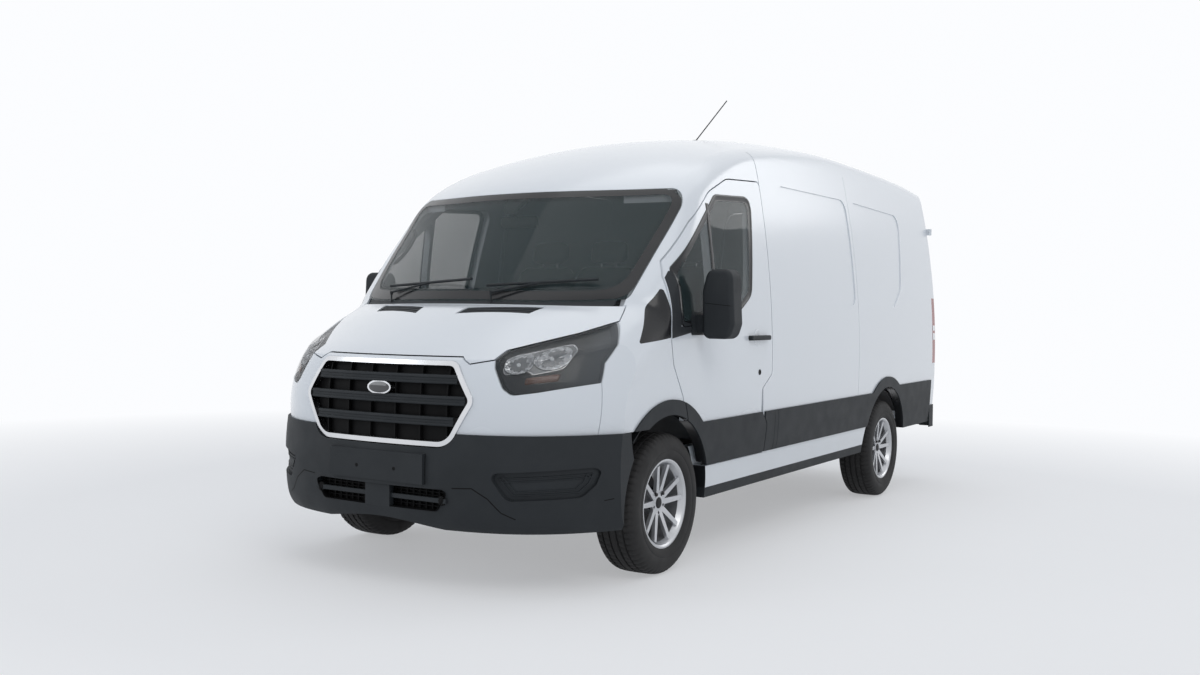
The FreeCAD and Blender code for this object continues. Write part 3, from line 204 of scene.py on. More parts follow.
# Finishes of the van's record slots
def paint_finish():
    """Gloss white over a very fine orange peel, greyer and rougher in noisy patches low down."""
    paint = Finish("body_paint", (0.79, 0.82, 0.86), Coat_Weight=0.7, Coat_Roughness=0.18)
    # Greyer and rougher towards the ground in noisy patches, fading out by 0.9 m up.
    low_greying = ((1.0 - paint.axis(2).past(0.30, 0.6)) * paint.noise(3.0, 3.0, 0.5) * 0.4).held()
    front_seal = paint.in_arch("front_left_tyre", 0.0)
    seal = front_seal.maths("MAXIMUM", paint.in_arch("rear_left_tyre", REAR_ARCH_RISE))
    outside_seal = paint.mixed(low_greying, (0.78, 0.82, 0.86), (0.60, 0.60, 0.59))
    paint.colour(seal, outside_seal, SEAL_BLACK)
    paint.roughness(low_greying, 0.26, 0.5)
    paint.relief(paint.noise(420.0, 2.0), 0.00004)


def plastic_finish(name, low, high, grain=900.0, depth=0.00018, shine=0.3):
    """Moulded plastic: cell grain, faint cloudiness and worn sheen."""
    plastic = Finish(name, high, Specular_IOR_Level=shine)
    plastic.colour(plastic.noise(5.0, 5.0, 0.6), low, high)
    plastic.roughness(plastic.noise(9.0, 4.0), 0.5, 0.72)
    plastic.relief(plastic.cells(grain), depth, 0.7)


def gloss_finish():
    gloss = Finish("gloss_black", (0.012, 0.013, 0.015), Specular_IOR_Level=0.35)
    gloss.colour(gloss.noise(14.0, 3.0), (0.008, 0.009, 0.011), (0.016, 0.017, 0.019))
    gloss.roughness(gloss.noise(20.0, 4.0), 0.14, 0.28)


def glass_finish():
    glass = Finish("window_glass", (0.035, 0.05, 0.05), IOR=1.45, Alpha=0.40, Specular_IOR_Level=0.45)
    glass.colour(glass.noise(2.0, 2.0), (0.030, 0.052, 0.055), (0.048, 0.072, 0.075))
    glass.roughness(glass.noise(6.0, 3.0), 0.015, 0.05)


def lens_finish():
    lens = Finish("lamp_lens", (0.06, 0.07, 0.075), Alpha=0.20, Specular_IOR_Level=0.35)
    lens.colour(lens.noise(4.0, 2.0), (0.05, 0.058, 0.064), (0.08, 0.09, 0.098))
    lens.roughness(lens.noise(12.0, 3.0), 0.02, 0.07)


def tail_finish():
    """Red lens with fine ribs across it."""
    tail = Finish("tail_lens", (0.3, 0.01, 0.012), Roughness=0.2, Coat_Weight=0.4)
    ribs = tail.axis(2).ripple(0.012)
    tail.colour(ribs, (0.22, 0.005, 0.008), (0.36, 0.012, 0.016))
    tail.relief(ribs, 0.0006)


def lamp_body_finish():
    """Near black in the middle of the van, and paler towards the outer ends of the housings, where the
    paleness is a painted reflection of the lamps.
    """
    bezel = Finish("lamp_body", (0.05, 0.05, 0.055))
    # Painted reflection: the outer ends of the housings are made paler than their own near black.
    outboard_highlight = bezel.axis(0).maths("ABSOLUTE").past(0.80, 0.10)
    bezel.colour(outboard_highlight, (0.014, 0.016, 0.018), (0.085, 0.095, 0.105))
    bezel.roughness(bezel.noise(24.0, 4.0), 0.25, 0.45)


def bright_finish():
    bright = Finish("bright_trim", (0.7, 0.71, 0.73), Metallic=1.0)
    bright.colour(bright.noise(10.0, 4.0), (0.60, 0.61, 0.63), (0.75, 0.76, 0.78))
    bright.roughness(bright.noise(60.0, 5.0), 0.14, 0.3)


def chassis_finish():
    """Black underseal with rust showing through in spots."""
    chassis = Finish("chassis_metal", (0.03, 0.03, 0.03))
    rust = chassis.noise(16.0, 8.0, 0.7)
    chassis.colour(rust.past(0.56, 0.14), (0.022, 0.022, 0.024), (0.075, 0.052, 0.038))
    chassis.roughness(rust, 0.45, 0.85)
    chassis.relief(rust, 0.0008, 0.5)


def engine_finish():
    """Rough cast metal."""
    engine = Finish("engine_metal", (0.25, 0.25, 0.26), Metallic=0.8, Roughness=0.55)
    engine.colour(engine.noise(30.0, 6.0), (0.16, 0.16, 0.165), (0.34, 0.34, 0.35))
    engine.relief(engine.noise(260.0, 4.0), 0.0006, 0.6)


def exhaust_finish():
    exhaust = Finish("exhaust_metal", (0.3, 0.27, 0.24), Metallic=0.9)
    exhaust.colour(exhaust.noise(12.0, 7.0, 0.65), (0.30, 0.28, 0.26), (0.20, 0.13, 0.08))
    exhaust.roughness(exhaust.noise(20.0, 5.0), 0.35, 0.7)


def alloy_finish():
    alloy = Finish("wheel_alloy", (0.5, 0.51, 0.53), Metallic=0.75, Coat_Weight=0.4)
    alloy.colour(alloy.noise(11.0, 5.0, 0.6), (0.46, 0.47, 0.49), (0.62, 0.63, 0.65))
    alloy.roughness(alloy.noise(30.0, 5.0), 0.26, 0.42)


def rubber_finish():
    rubber = Finish("tyre_rubber", (0.03, 0.03, 0.03))
    rubber.colour(rubber.noise(26.0, 5.0, 0.6), (0.009, 0.009, 0.010), (0.020, 0.0195, 0.0195))
    rubber.roughness(rubber.noise(14.0, 4.0), 0.66, 0.9)
    rubber.relief(rubber.noise(700.0, 3.0), 0.0003, 0.6)


def cloth_finish():
    """Plain dark weave with a slub in it."""
    cloth = Finish("seat_cloth", (0.05, 0.05, 0.055), Roughness=0.92, Sheen_Weight=0.25)
    thread = 0.0052
    weave = cloth.axis(0).ripple(thread) * (cloth.axis(1) + cloth.axis(2)).ripple(thread)
    slub = (weave * 0.7 + cloth.noise(40.0, 3.0) * 0.4).held()
    cloth.colour(slub, (0.022, 0.022, 0.025), (0.052, 0.053, 0.059))
    cloth.relief(weave, 0.0004, 0.2)


def dash_finish():
    dash = Finish("dash_plastic", (0.03, 0.03, 0.03))
    dash.colour(dash.noise(8.0, 4.0), (0.020, 0.021, 0.023), (0.036, 0.037, 0.040))
    dash.roughness(dash.noise(9.0, 4.0), 0.55, 0.75)
    dash.relief(dash.cells(700.0), 0.0002, 0.6)


# Finishes of what is added inside the record's slots
def mirror_finish():
    mirror = Finish("mirror_silver", (0.75, 0.77, 0.8), Metallic=1.0)
    mirror.roughness(mirror.noise(8.0, 2.0), 0.02, 0.06)


def reflector_finish():
    """Silvered bowl with facets pressed into it."""
    bowl = Finish("reflector_chrome", (0.8, 0.82, 0.85), Metallic=1.0)
    facets = bowl.cells(95.0)
    bowl.colour(facets, (0.62, 0.64, 0.67), (0.16, 0.17, 0.18))
    bowl.roughness(facets.past(0.3, 0.4), 0.06, 0.2)
    bowl.relief(facets, 0.0012, 0.8)


def amber_finish():
    """Amber lens with upright ribs."""
    amber = Finish("amber_lens", (0.5, 0.16, 0.03), Roughness=0.2, Coat_Weight=1.0)
    ribs = amber.axis(0).ripple(0.006)
    amber.colour(ribs, (0.07, 0.022, 0.010), (0.20, 0.062, 0.020))
    amber.relief(ribs, 0.0006)


def cluster_finish():
    cluster = Finish("cluster_grey", (0.16, 0.17, 0.18), Metallic=0.7)
    cluster.colour(cluster.noise(22.0, 3.0), (0.17, 0.18, 0.19), (0.24, 0.25, 0.26))
    cluster.roughness(cluster.noise(30.0, 3.0), 0.30, 0.42)


def screen_finish():
    screen = Finish("screen_glass", (0.01, 0.012, 0.016), Coat_Weight=1.0)
    screen.colour(screen.noise(30.0, 2.0), (0.006, 0.008, 0.012), (0.012, 0.015, 0.022))
    screen.roughness(screen.noise(9.0, 3.0), 0.05, 0.16)


def bulb_finish():
    bulb = Finish("bulb_glass", (0.85, 0.88, 0.9), Coat_Weight=1.0)
    bulb.roughness(bulb.noise(60.0, 3.0), 0.08, 0.25)


paint_finish()
plastic_finish("dark_plastic", (0.013, 0.016, 0.019), (0.023, 0.027, 0.031))
plastic_finish("cap_black", (0.010, 0.010, 0.011), (0.020, 0.020, 0.022), 1400.0, 0.0001)
# mesh_black is darker than the other plastics; on the radiator grille that extra darkness is painted shade
plastic_finish("mesh_black", (0.003, 0.003, 0.0035), (0.007, 0.007, 0.0075), 1100.0, 0.0001, 0.12)
for make_finish in (gloss_finish, glass_finish, lens_finish, tail_finish, lamp_body_finish, bright_finish,
                    chassis_finish, engine_finish, exhaust_finish, alloy_finish, rubber_finish, cloth_finish,
                    dash_finish, mirror_finish, reflector_finish, amber_finish, cluster_finish, screen_finish,
                    bulb_finish):
    make_finish()

# The record slot of each added finish
SLOT_OF = {"cap_black": "dark_plastic", "mesh_black": "dark_plastic", "mirror_silver": "bright_trim",
           "reflector_chrome": "bright_trim", "amber_lens": "lamp_lens", "bulb_glass": "lamp_lens",
           "cluster_grey": "lamp_body", "screen_glass": "gloss_black"}
SEE_THROUGH = ("window_glass", "lamp_lens")
for item in frame["record"]["subparts"]:
    obj = nodes[item["node"]]
    obj.data.materials.clear()
    obj.data.materials.append(finishes[item["material_slot"]])
    if item["material_slot"] in SEE_THROUGH:
        obj.visible_shadow = False
# The radiator grille, fins behind the bars included, takes mesh_black: painted shade in the depth of the
# grille
nodes["radiator_grille"].data.materials[0] = finishes["mesh_black"]


# Places and meshes
RAKE = math.radians(0.69)
AXLE_Z = 0.350
tyre_low, tyre_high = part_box("front_left_tyre")
FRONT_AXLE_Y = (tyre_low.y + tyre_high.y) / 2
CAB_WAY = Vector((0, math.cos(RAKE), math.sin(RAKE)))
CAB_UP = Vector((0, -math.sin(RAKE), math.cos(RAKE)))
LEFT_WAY = Vector((1, 0, 0))
DOWN = -CAB_UP
BOTH_SIDES = (("left", 1), ("right", -1))
WHEEL_CORNERS = ("front_left", "front_right", "rear_left", "rear_right")
WELD, SLIVER = 1e-6, 1e-7
FRONT_CAST_Y, BACK_CAST_Y, TOP_CAST_Z, SIDE_CAST_X = -1350, 4900, 2300, 1300


def at(x, y, z):
    """Millimetres on the level body, from the front axle, to metres on the parked van."""
    return Vector((x / 1000, FRONT_AXLE_Y, AXLE_Z)) + CAB_WAY * (y / 1000) + CAB_UP * (z / 1000 - AXLE_Z)


def from_front(x, z):
    """Start of a cast that runs back from ahead of the bumper."""
    return at(x, FRONT_CAST_Y, z)


def from_back(x, z):
    """Start of a cast that runs forward from behind the rear doors."""
    return at(x, BACK_CAST_Y, z)


def from_above(x, y):
    """Start of a cast that runs down onto the windscreen."""
    return at(x, y, TOP_CAST_Z)


def from_side(sign):
    """Starts of the casts that run inwards on one side of the van."""
    return lambda y, z: at(sign * SIDE_CAST_X, y, z)


def add_mesh(name, shape, material, body="body", slot=None, smooth=True, sharp=35):
    """A new piece from points and faces, which rides on a body."""
    points, faces = shape
    mesh = bpy.data.meshes.new(name)
    mesh.from_pydata([tuple(p) for p in points], [], faces)
    work = bmesh.new()
    work.from_mesh(mesh)
    bmesh.ops.remove_doubles(work, verts=work.verts, dist=WELD)
    bmesh.ops.dissolve_degenerate(work, edges=work.edges, dist=SLIVER)
    bmesh.ops.recalc_face_normals(work, faces=work.faces)
    work.to_mesh(mesh)
    work.free()
    for polygon in mesh.polygons:
        polygon.use_smooth = smooth
    if smooth:
        mesh.set_sharp_from_angle(angle=math.radians(sharp))
    mesh.materials.append(finishes[material])
    piece = bpy.data.objects.new(name, mesh)
    bpy.context.collection.objects.link(piece)
    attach(piece, body)
    slot or SLOT_OF.get(material, material)
    return piece


class Heap:
    """Points and faces of many small shapes that make one piece."""

    def __init__(self):
        self.points = []
        self.faces = []

    def __iter__(self):
        return iter((self.points, self.faces))

    def add(self, shape):
        points, faces = shape
        base = len(self.points)
        self.points += points
        self.faces += [tuple(base + index for index in face) for face in faces]
        return self


def shares(steps):
    """From 0 to 1 in equal steps, both ends included."""
    return [i / steps for i in range(steps + 1)]


def angles(steps, closing=0):
    """Equal steps round a circle, with the first place again at the end if closing is 1."""
    return [2 * math.pi * i / steps for i in range(steps + closing)]


# Which rings of a loft are closed by a face
NO_CAPS, FIRST_CAP, LAST_CAP, BOTH_CAPS = (), (0,), (-1,), (0, -1)


def lofted(rings, closed=True, caps=BOTH_CAPS):
    """Skin over rings of equal length, each a list of points."""
    count = len(rings[0])
    points = [p for ring in rings for p in ring]
    faces = []
    for r in range(len(rings) - 1):
        for i in range(count if closed else count - 1):
            j = (i + 1) % count
            faces.append((r * count + i, r * count + j, (r + 1) * count + j, (r + 1) * count + i))
    for ring in caps:
        first = ring % len(rings) * count
        faces.append(tuple(range(first, first + count)))
    return points, faces


def flat(ring):
    """One face through all points of a ring."""
    return ring, [tuple(range(len(ring)))]


def turned(profile, centre, axis, steps):
    """Surface of revolution: profile is (radius, height along the axis)."""
    axis = Vector(axis).normalized()
    across = axis.orthogonal().normalized()
    other = axis.cross(across)
    rings = []
    for angle in angles(steps, 1):
        out = across * math.cos(angle) + other * math.sin(angle)
        rings.append([centre + out * radius + axis * height for radius, height in profile])
    return lofted(rings, closed=False, caps=NO_CAPS)


def tube(path, radius, steps=12):
    """Round rod along a list of points, with closed ends."""
    rings = []
    for i, point in enumerate(path):
        ahead = (path[min(i + 1, len(path) - 1)] - path[max(i - 1, 0)]).normalized()
        across = ahead.cross(LEFT_WAY if abs(ahead.x) < 0.9 else CAB_UP).normalized()
        other = ahead.cross(across)
        rings.append([point + (across * math.cos(a) + other * math.sin(a)) * radius for a in angles(steps)])
    return lofted(rings)


def bowed(start, end, steps, way, reach, power, lift=0.0):
    """Path of a grip that bows away from the line between its two feet."""
    path = []
    for share in shares(steps):
        bow = reach * math.sin(math.pi * share) ** power + lift
        path.append(start.lerp(end, share) + way * bow)
    return path


def bend(start, middle, end, steps):
    """Curve from start to end, drawn towards the middle point."""
    return [start * (1 - t) ** 2 + middle * 2 * t * (1 - t) + end * t ** 2 for t in shares(steps)]


def corner_loop(corners, edge_steps=8, arc_steps=8):
    """Closed outline through (a, b, radius) corners, with equal steps on each edge and each corner."""
    count = len(corners)
    arcs = []
    for i, (a, b, radius) in enumerate(corners):
        spot = Vector((a, b))
        before = Vector(corners[i - 1][:2]) - spot
        after = Vector(corners[(i + 1) % count][:2]) - spot
        half = before.angle(after) / 2
        cut = min(radius / math.tan(half), 0.49 * before.length, 0.49 * after.length)
        arcs.append(bend(spot + before.normalized() * cut, spot, spot + after.normalized() * cut, arc_steps))
    loop = []
    for i, arc in enumerate(arcs):
        loop += arc
        following = arcs[(i + 1) % count][0]
        loop += [arc[-1].lerp(following, k / edge_steps) for k in range(1, edge_steps)]
    return loop


def drawn_in(loop, distance):
    """The loop moved inwards by a distance (outwards if negative)."""
    following = loop[1:] + loop[:1]
    area = sum(p.x * q.y - q.x * p.y for p, q in zip(loop, following))
    turn = 1 if area > 0 else -1
    moved = []
    for i, point in enumerate(loop):
        along = (following[i] - loop[i - 1]).normalized()
        moved.append(point + Vector((-along.y, along.x)) * distance * turn)
    return moved


# Pieces laid on the van's own surfaces
def skin_of(*names):
    """What casts are laid on: the meshes of some nodes together."""
    points, faces = [], []
    for name in names:
        base = len(points)
        mesh = nodes[name].data
        points += [v.co for v in mesh.vertices]
        faces += [tuple(base + i for i in p.vertices) for p in mesh.polygons]
    return BVHTree.FromPolygons(points, faces)


def laid(skin, point, way, rise=0.0):
    """Where a ray from the point meets the skin, lifted off it against the ray, or None."""
    hit, normal, _, _ = skin.ray_cast(point, way)
    if hit is None:
        return None
    if normal.dot(way) > 0:
        normal = -normal
    return hit + normal * rise


def laid_row(skin, starts, way, rise):
    """A row of points laid on the skin. Where a ray misses, the last spot or the start stands in."""
    row = []
    for start in starts:
        spot = laid(skin, start, way, rise)
        row.append(spot if spot is not None else (row[-1] if row else start))
    return row


def strip(skin, rows, way, rises, closed=True):
    """Ribbon on a skin: rows of loose points, each laid at its own rise."""
    rings = [laid_row(skin, row, way, rise) for row, rise in zip(rows, rises)]
    return lofted(rings, closed, NO_CAPS)


def collar(skin, outer, inner, place, way, profile):
    """Ribbon between two outlines: for each share of the way inwards, its rise."""
    rows = []
    for share, _ in profile:
        loop = [(a.x + (b.x - a.x) * share, a.y + (b.y - a.y) * share) for a, b in zip(outer, inner)]
        rows.append([place(*spot) for spot in loop])
    return strip(skin, rows, way, [rise for _, rise in profile])


def patch(skin, loop, place, way, profile):
    """Cover over a flat outline: rings drawn towards its middle, each at its own rise, then closed."""
    middle = sum(loop, Vector((0, 0))) / len(loop)
    rings = []
    for share, rise in profile:
        starts = [place(*(middle + (point - middle) * share)) for point in loop]
        rings.append(laid_row(skin, starts, way, rise))
    return lofted(rings, caps=LAST_CAP)


def seam(skin, points, place, way, width, rise=0.0005, steps=10):
    """Thin line of a width in millimetres, laid along a run of (a, b) points."""
    fine = []
    for start, end in zip(points[:-1], points[1:]):
        fine += [Vector(start).lerp(Vector(end), i / steps) for i in range(steps)]
    fine.append(Vector(points[-1]))
    rows = [[], []]
    for i, spot in enumerate(fine):
        ahead = fine[min(i + 1, len(fine) - 1)] - fine[max(i - 1, 0)]
        across = Vector((-ahead.y, ahead.x)).normalized() * (width / 2)
        for row, side in zip(rows, (-1, 1)):
            row.append(place(*(spot + across * side)))
    return strip(skin, rows, way, (rise, rise), closed=False)


# Tyres with a road tread: ribs round the middle, cross cuts on the shoulders
TREAD_PITCHES = 64
STEPS_PER_PITCH = 4
CUT_DEPTH = 0.0065
SIPE_DEPTH = 0.0035
SHOULDER_RADIUS = 0.332
SHOULDER_X = 0.060
RIB_RADIUS = 0.345
RIB_X = (0.024, 0.054)
HALF_TREAD = [(0.212, -0.092), (0.222, -0.104), (0.240, -0.112), (0.262, -0.1165), (0.264, -0.1155),
              (0.2665, -0.1170), (0.290, -0.1172), (0.310, -0.1140), (0.325, -0.107), (0.335, -0.100),
              (0.3425, -0.092), (0.3465, -0.082), (0.3490, -0.064), (0.3410, -0.062), (0.3410, -0.055),
              (0.3495, -0.053), (0.3498, -0.025), (0.3415, -0.023), (0.3415, -0.016), (0.3500, -0.014)]
TREAD = HALF_TREAD + [(radius, -x) for radius, x in reversed(HALF_TREAD)]


def tread_radius(step, radius, x):
    """The radius at one step round the tyre, less the depth of a cut or a sipe that crosses it."""
    place = step % STEPS_PER_PITCH
    if abs(x) > SHOULDER_X and radius > SHOULDER_RADIUS and place == 0:
        return radius - CUT_DEPTH
    if RIB_X[0] < abs(x) < RIB_X[1] and radius > RIB_RADIUS and place == (2 if x > 0 else 1):
        return radius - SIPE_DEPTH
    return radius


def make_tyre(corner):
    low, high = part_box(corner + "_tyre")
    centre = (low + high) / 2
    rings = []
    for step, angle in enumerate(angles(TREAD_PITCHES * STEPS_PER_PITCH, 1)):
        ring = []
        for base, x in TREAD:
            radius = tread_radius(step, base, x)
            ring.append(centre + Vector((x, radius * math.cos(angle), radius * math.sin(angle))))
        rings.append(ring + ring[:1])
    shape = lofted(rings, closed=False, caps=NO_CAPS)
    tyre = add_mesh(corner + "_tread", shape, "tyre_rubber", corner + "_wheel", sharp=40)
    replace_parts(tyre, corner + "_tyre")


# Centre caps and nuts of the wheels
NUT_CIRCLE = 0.056
NUTS = 5
CAP_PROFILE = [(0.0, 0.0065), (0.014, 0.006), (0.024, 0.004), (0.0275, 0.0015), (0.0285, -0.002)]
NUT_PROFILE = [(0.0, 0.013), (0.0065, 0.012), (0.0095, 0.009), (0.0095, -0.003)]
HUB_REACH = 0.001
OUT_OF_WHEEL = 0.3


def make_wheel_details(corner):
    low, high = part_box(corner + "_rim")
    outward = LEFT_WAY * (1 if "left" in corner else -1)
    outside = (low + high) / 2 + outward * OUT_OF_WHEEL
    skin = skin_of(corner + "_rim")

    def on_rim(radius, angle):
        start = outside + Vector((0, math.sin(angle), math.cos(angle))) * radius
        return laid(skin, start, -outward)

    cap = turned(CAP_PROFILE, on_rim(HUB_REACH, 0.0), outward, 40)
    add_mesh(corner + "_cap", cap, "cap_black", corner + "_wheel")
    nuts = Heap()
    for i in range(NUTS):
        nuts.add(turned(NUT_PROFILE, on_rim(NUT_CIRCLE, 2 * math.pi * (i + 0.5) / NUTS), outward, 6))
    add_mesh(corner + "_nuts", nuts, "chassis_metal", corner + "_wheel", smooth=False)


for corner in WHEEL_CORNERS:
    make_tyre(corner)
    make_wheel_details(corner)


# Black border of the windscreen, wider at its sides, with rows of fading dots
SCREEN_BASE = (850.0, -163.0, -436.0)
SCREEN_TOP = (905.0, 390.0, 95.0)
SCREEN_BULGE = 4.5
SCREEN_EDGE_STEPS, SCREEN_SIDE_STEPS, SCREEN_CORNER_STEPS = 30, 24, 10
BORDER_OUTSIDE = (2.0, 2.0, 2.0)
BORDER_FOOT, BORDER_SIDE, BORDER_TOP = 40.0, 50.0, 40.0
OUTER_CORNER, INNER_CORNER = 58.0, 85.0
BORDER_PROFILE = ((0.0, 0.0004), (0.3, 0.0006), (0.65, 0.0006), (1.0, 0.0004))
# Each row of dots: how far in from the border at foot, sides and top, then the dots' radius
DOT_ROWS = ((7, 7, 6, 0.0031), (15, 16, 13, 0.0023), (23, 25, 20, 0.0015))
DOT_PITCH = 9.0
DOT_RISE = 0.0005
DOT_SIDES = 6
SLOPE_STEP = 5


def edge_y(x, edge, offset):
    """Where one edge of the windscreen runs in plan, from its half width and the y of end and middle."""
    half, end, middle = edge
    run = end - middle
    radius = (half * half + run * run) / (2 * run)
    return middle + offset + radius - math.sqrt(radius * radius - x * x)


def screen_loop(foot_in, side_in, top_in, corner):
    """Plan outline of the windscreen, drawn in by its own amount at foot, sides and top."""
    foot_x, top_x = SCREEN_BASE[0] - side_in, SCREEN_TOP[0] - side_in
    foot_y, top_y = edge_y(foot_x, SCREEN_BASE, foot_in), edge_y(top_x, SCREEN_TOP, -top_in)

    def foot(x):
        return Vector((x, edge_y(x, SCREEN_BASE, foot_in)))

    def top(x):
        return Vector((x, edge_y(x, SCREEN_TOP, -top_in)))

    def side(t):
        x = foot_x + (top_x - foot_x) * t + SCREEN_BULGE * 4 * t * (1 - t)
        return Vector((x, foot_y + (top_y - foot_y) * t))

    cut = corner / (top_y - foot_y)
    half = [foot((foot_x - corner) * i / SCREEN_EDGE_STEPS) for i in range(SCREEN_EDGE_STEPS)]
    half += bend(foot(foot_x - corner), side(0.0), side(cut), SCREEN_CORNER_STEPS)
    half += [side(cut + (1 - 2 * cut) * share) for share in shares(SCREEN_SIDE_STEPS)[1:-1]]
    half += bend(side(1 - cut), side(1.0), top(top_x - corner), SCREEN_CORNER_STEPS)
    half += [top((top_x - corner) * (1 - share)) for share in shares(SCREEN_EDGE_STEPS)[1:]]
    return half + [Vector((-p.x, p.y)) for p in reversed(half[1:-1])]


def make_screen_border():
    outer = screen_loop(*BORDER_OUTSIDE, OUTER_CORNER)
    inner = screen_loop(BORDER_FOOT, BORDER_SIDE, BORDER_TOP, INNER_CORNER)
    shape = collar(skin_of("windshield"), outer, inner, from_above, DOWN, BORDER_PROFILE)
    add_mesh("windscreen_border", shape, "gloss_black")


def make_screen_dots():
    skin = skin_of("windshield")
    dots = Heap()
    for number, (foot, side, top, radius) in enumerate(DOT_ROWS):
        line = screen_loop(BORDER_FOOT + foot, BORDER_SIDE + side, BORDER_TOP + top, INNER_CORNER)
        stagger = 0.5 * (number % 2)
        for spot, ahead in zip(line, line[1:] + line[:1]):
            count = max(1, round((ahead - spot).length / DOT_PITCH))
            for k in range(count):
                x, y = spot.lerp(ahead, (k + stagger) / count)
                middle = laid(skin, from_above(x, y), DOWN, DOT_RISE)
                along = (laid(skin, from_above(x, y + SLOPE_STEP), DOWN, DOT_RISE) - middle).normalized()
                ring = [middle + (LEFT_WAY * math.cos(a) + along * math.sin(a)) * radius
                        for a in angles(DOT_SIDES)]
                dots.add(flat(ring))
    add_mesh("windscreen_dots", dots, "gloss_black")


make_screen_border()
make_screen_dots()


# Black rubber round the door windows and over their divider
WINDOW_LINE = [(1012, 1938, 60), (560, 1914, 90), (45, 1506, 25), (85, 1228, 30), (690, 1282, 60),
               (905, 1400, 90)]
WINDOW_INNER = [(972, 1914, 48), (572, 1893, 78), (66, 1494, 18), (103, 1250, 22), (684, 1304, 52),
                (876, 1412, 78)]
WINDOW_LAP = 12.0
RUBBER_PROFILE = ((0.0, 0.0004), (0.06, 0.0032), (0.2, 0.0040), (0.34, 0.0022), (0.42, 0.0012), (1.0, 0.0004))
DIVIDER_Y = 455.0
DIVIDER_PROFILE = ((-17.0, 0.0004), (-12.0, 0.0022), (12.0, 0.0022), (17.0, 0.0004))
DIVIDER_LOW, DIVIDER_HIGH = 1280, 1870
DIVIDER_STEPS = 20


def make_window_rubber(side, sign):
    skin = skin_of(side + "_door", side + "_door_glass")
    place, inward = from_side(sign), LEFT_WAY * -sign
    outer = drawn_in(corner_loop(WINDOW_LINE), -WINDOW_LAP)
    rubber = Heap().add(collar(skin, outer, corner_loop(WINDOW_INNER), place, inward, RUBBER_PROFILE))
    bar = []
    for offset, _ in DIVIDER_PROFILE:
        bar.append([place(DIVIDER_Y + offset, DIVIDER_LOW + (DIVIDER_HIGH - DIVIDER_LOW) * share)
                    for share in shares(DIVIDER_STEPS)])
    rubber.add(strip(skin, bar, inward, [rise for _, rise in DIVIDER_PROFILE], closed=False))
    add_mesh(side + "_window_rubber", rubber, "gloss_black", side + "_front_door")


for side, sign in BOTH_SIDES:
    make_window_rubber(side, sign)


# Lock cylinder under each door handle, and the round dish behind the handle
LOCK_Y, LOCK_Z = 1002.0, 962.0
LOCK_PROFILE = [(0.0, 0.0012), (0.0065, 0.0012), (0.0075, 0.0035), (0.0125, 0.0040), (0.0155, 0.0025),
                (0.0165, -0.001)]
DISH_Y, DISH_Z, DISH_R = 968.0, 1157.0, 0.046
DISH_PROFILE = [(DISH_R * 0.45, 0.0008), (DISH_R * 0.80, 0.0012), (DISH_R * 0.9, 0.0024),
                (DISH_R * 0.96, 0.0024), (DISH_R, 0.0014), (DISH_R * 1.04, -0.001)]


def make_door_lock(side, sign):
    skin = skin_of(side + "_door")
    outward = LEFT_WAY * sign
    lock_spot = laid(skin, from_side(sign)(LOCK_Y, LOCK_Z), -outward)
    lock = turned(LOCK_PROFILE, lock_spot, outward, 32)
    add_mesh(side + "_door_lock", lock, "cap_black", side + "_front_door")
    dish_spot = laid(skin, from_side(sign)(DISH_Y, DISH_Z), -outward)
    dish = turned(DISH_PROFILE, dish_spot, outward, 48)
    add_mesh(side + "_handle_dish", dish, "body_paint", side + "_front_door")


for side, sign in BOTH_SIDES:
    make_door_lock(side, sign)


# Badge face: a bare dark oval inside its bright rim
BADGE_HALF = (0.063, 0.026)
BADGE_Z = 937
BADGE_STEPS = 64
BADGE_PROFILE = ((1.0, 0.0002), (0.97, 0.0016), (0.8, 0.0026), (0.4, 0.0036), (0.02, 0.004))
AHEAD_OF_BADGE = 0.1


def make_badge():
    skin = skin_of("grille_surround")
    start = laid(skin, from_front(0, BADGE_Z), CAB_WAY) - CAB_WAY * AHEAD_OF_BADGE
    wide, tall = BADGE_HALF
    rings = []
    for share, rise in BADGE_PROFILE:
        ring = []
        for angle in angles(BADGE_STEPS):
            offset = LEFT_WAY * (math.cos(angle) * wide * share) + CAB_UP * (math.sin(angle) * tall * share)
            ring.append(laid(skin, start + offset, CAB_WAY, rise))
        rings.append(ring)
    add_mesh("badge_face", lofted(rings, caps=LAST_CAP), "screen_glass")


make_badge()


# Head lamp insides: two bright bowls with bulbs, a grey plate with a bright edge, and the amber indicator
BOWLS = ((658.0, 1052.0, 54.0), (768.0, 1078.0, 60.0))
BOWL_PROFILE = ((1.0, 0.0095), (0.94, 0.0095), (0.86, 0.0062), (0.65, 0.0034), (0.4, 0.0018), (0.2, 0.0012))
BOWL_STEPS = 72
BOWL_SQUASH = 0.80
FLUTES, FLUTE_DEPTH = 12, 0.0009
FLUTED_FROM, FLUTED_TO = 0.3, 0.9
BULB_PROFILE = [(0.0, 0.0085), (0.006, 0.008), (0.0095, 0.005), (0.0105, 0.0005)]
BULB_RING_PROFILE = [(0.0105, 0.0), (0.013, 0.0018), (0.016, 0.0016), (0.017, 0.0)]
BEHIND_LAMP = -0.01
CLUSTER = [(602, 1030, 14), (616, 1086, 22), (790, 1144, 34), (838, 1112, 34), (822, 1034, 34),
           (724, 1006, 8), (702, 1020, 8), (616, 1004, 16)]
CLUSTER_PROFILE = ((1.0, 0.0004), (0.985, 0.0042), (0.5, 0.0042), (0.04, 0.0042))
CLUSTER_EDGE = ((1.0, 0.004), (1.8, 0.0068), (3.6, 0.0068), (4.4, 0.004))
INDICATOR = [(700, 966, 8), (815, 983, 10), (815, 1016, 10), (700, 996, 8)]
INDICATOR_PROFILE = ((0.0, 0.0008), (1.0, 0.0035), (4.0, 0.0058), (10.0, 0.0066))


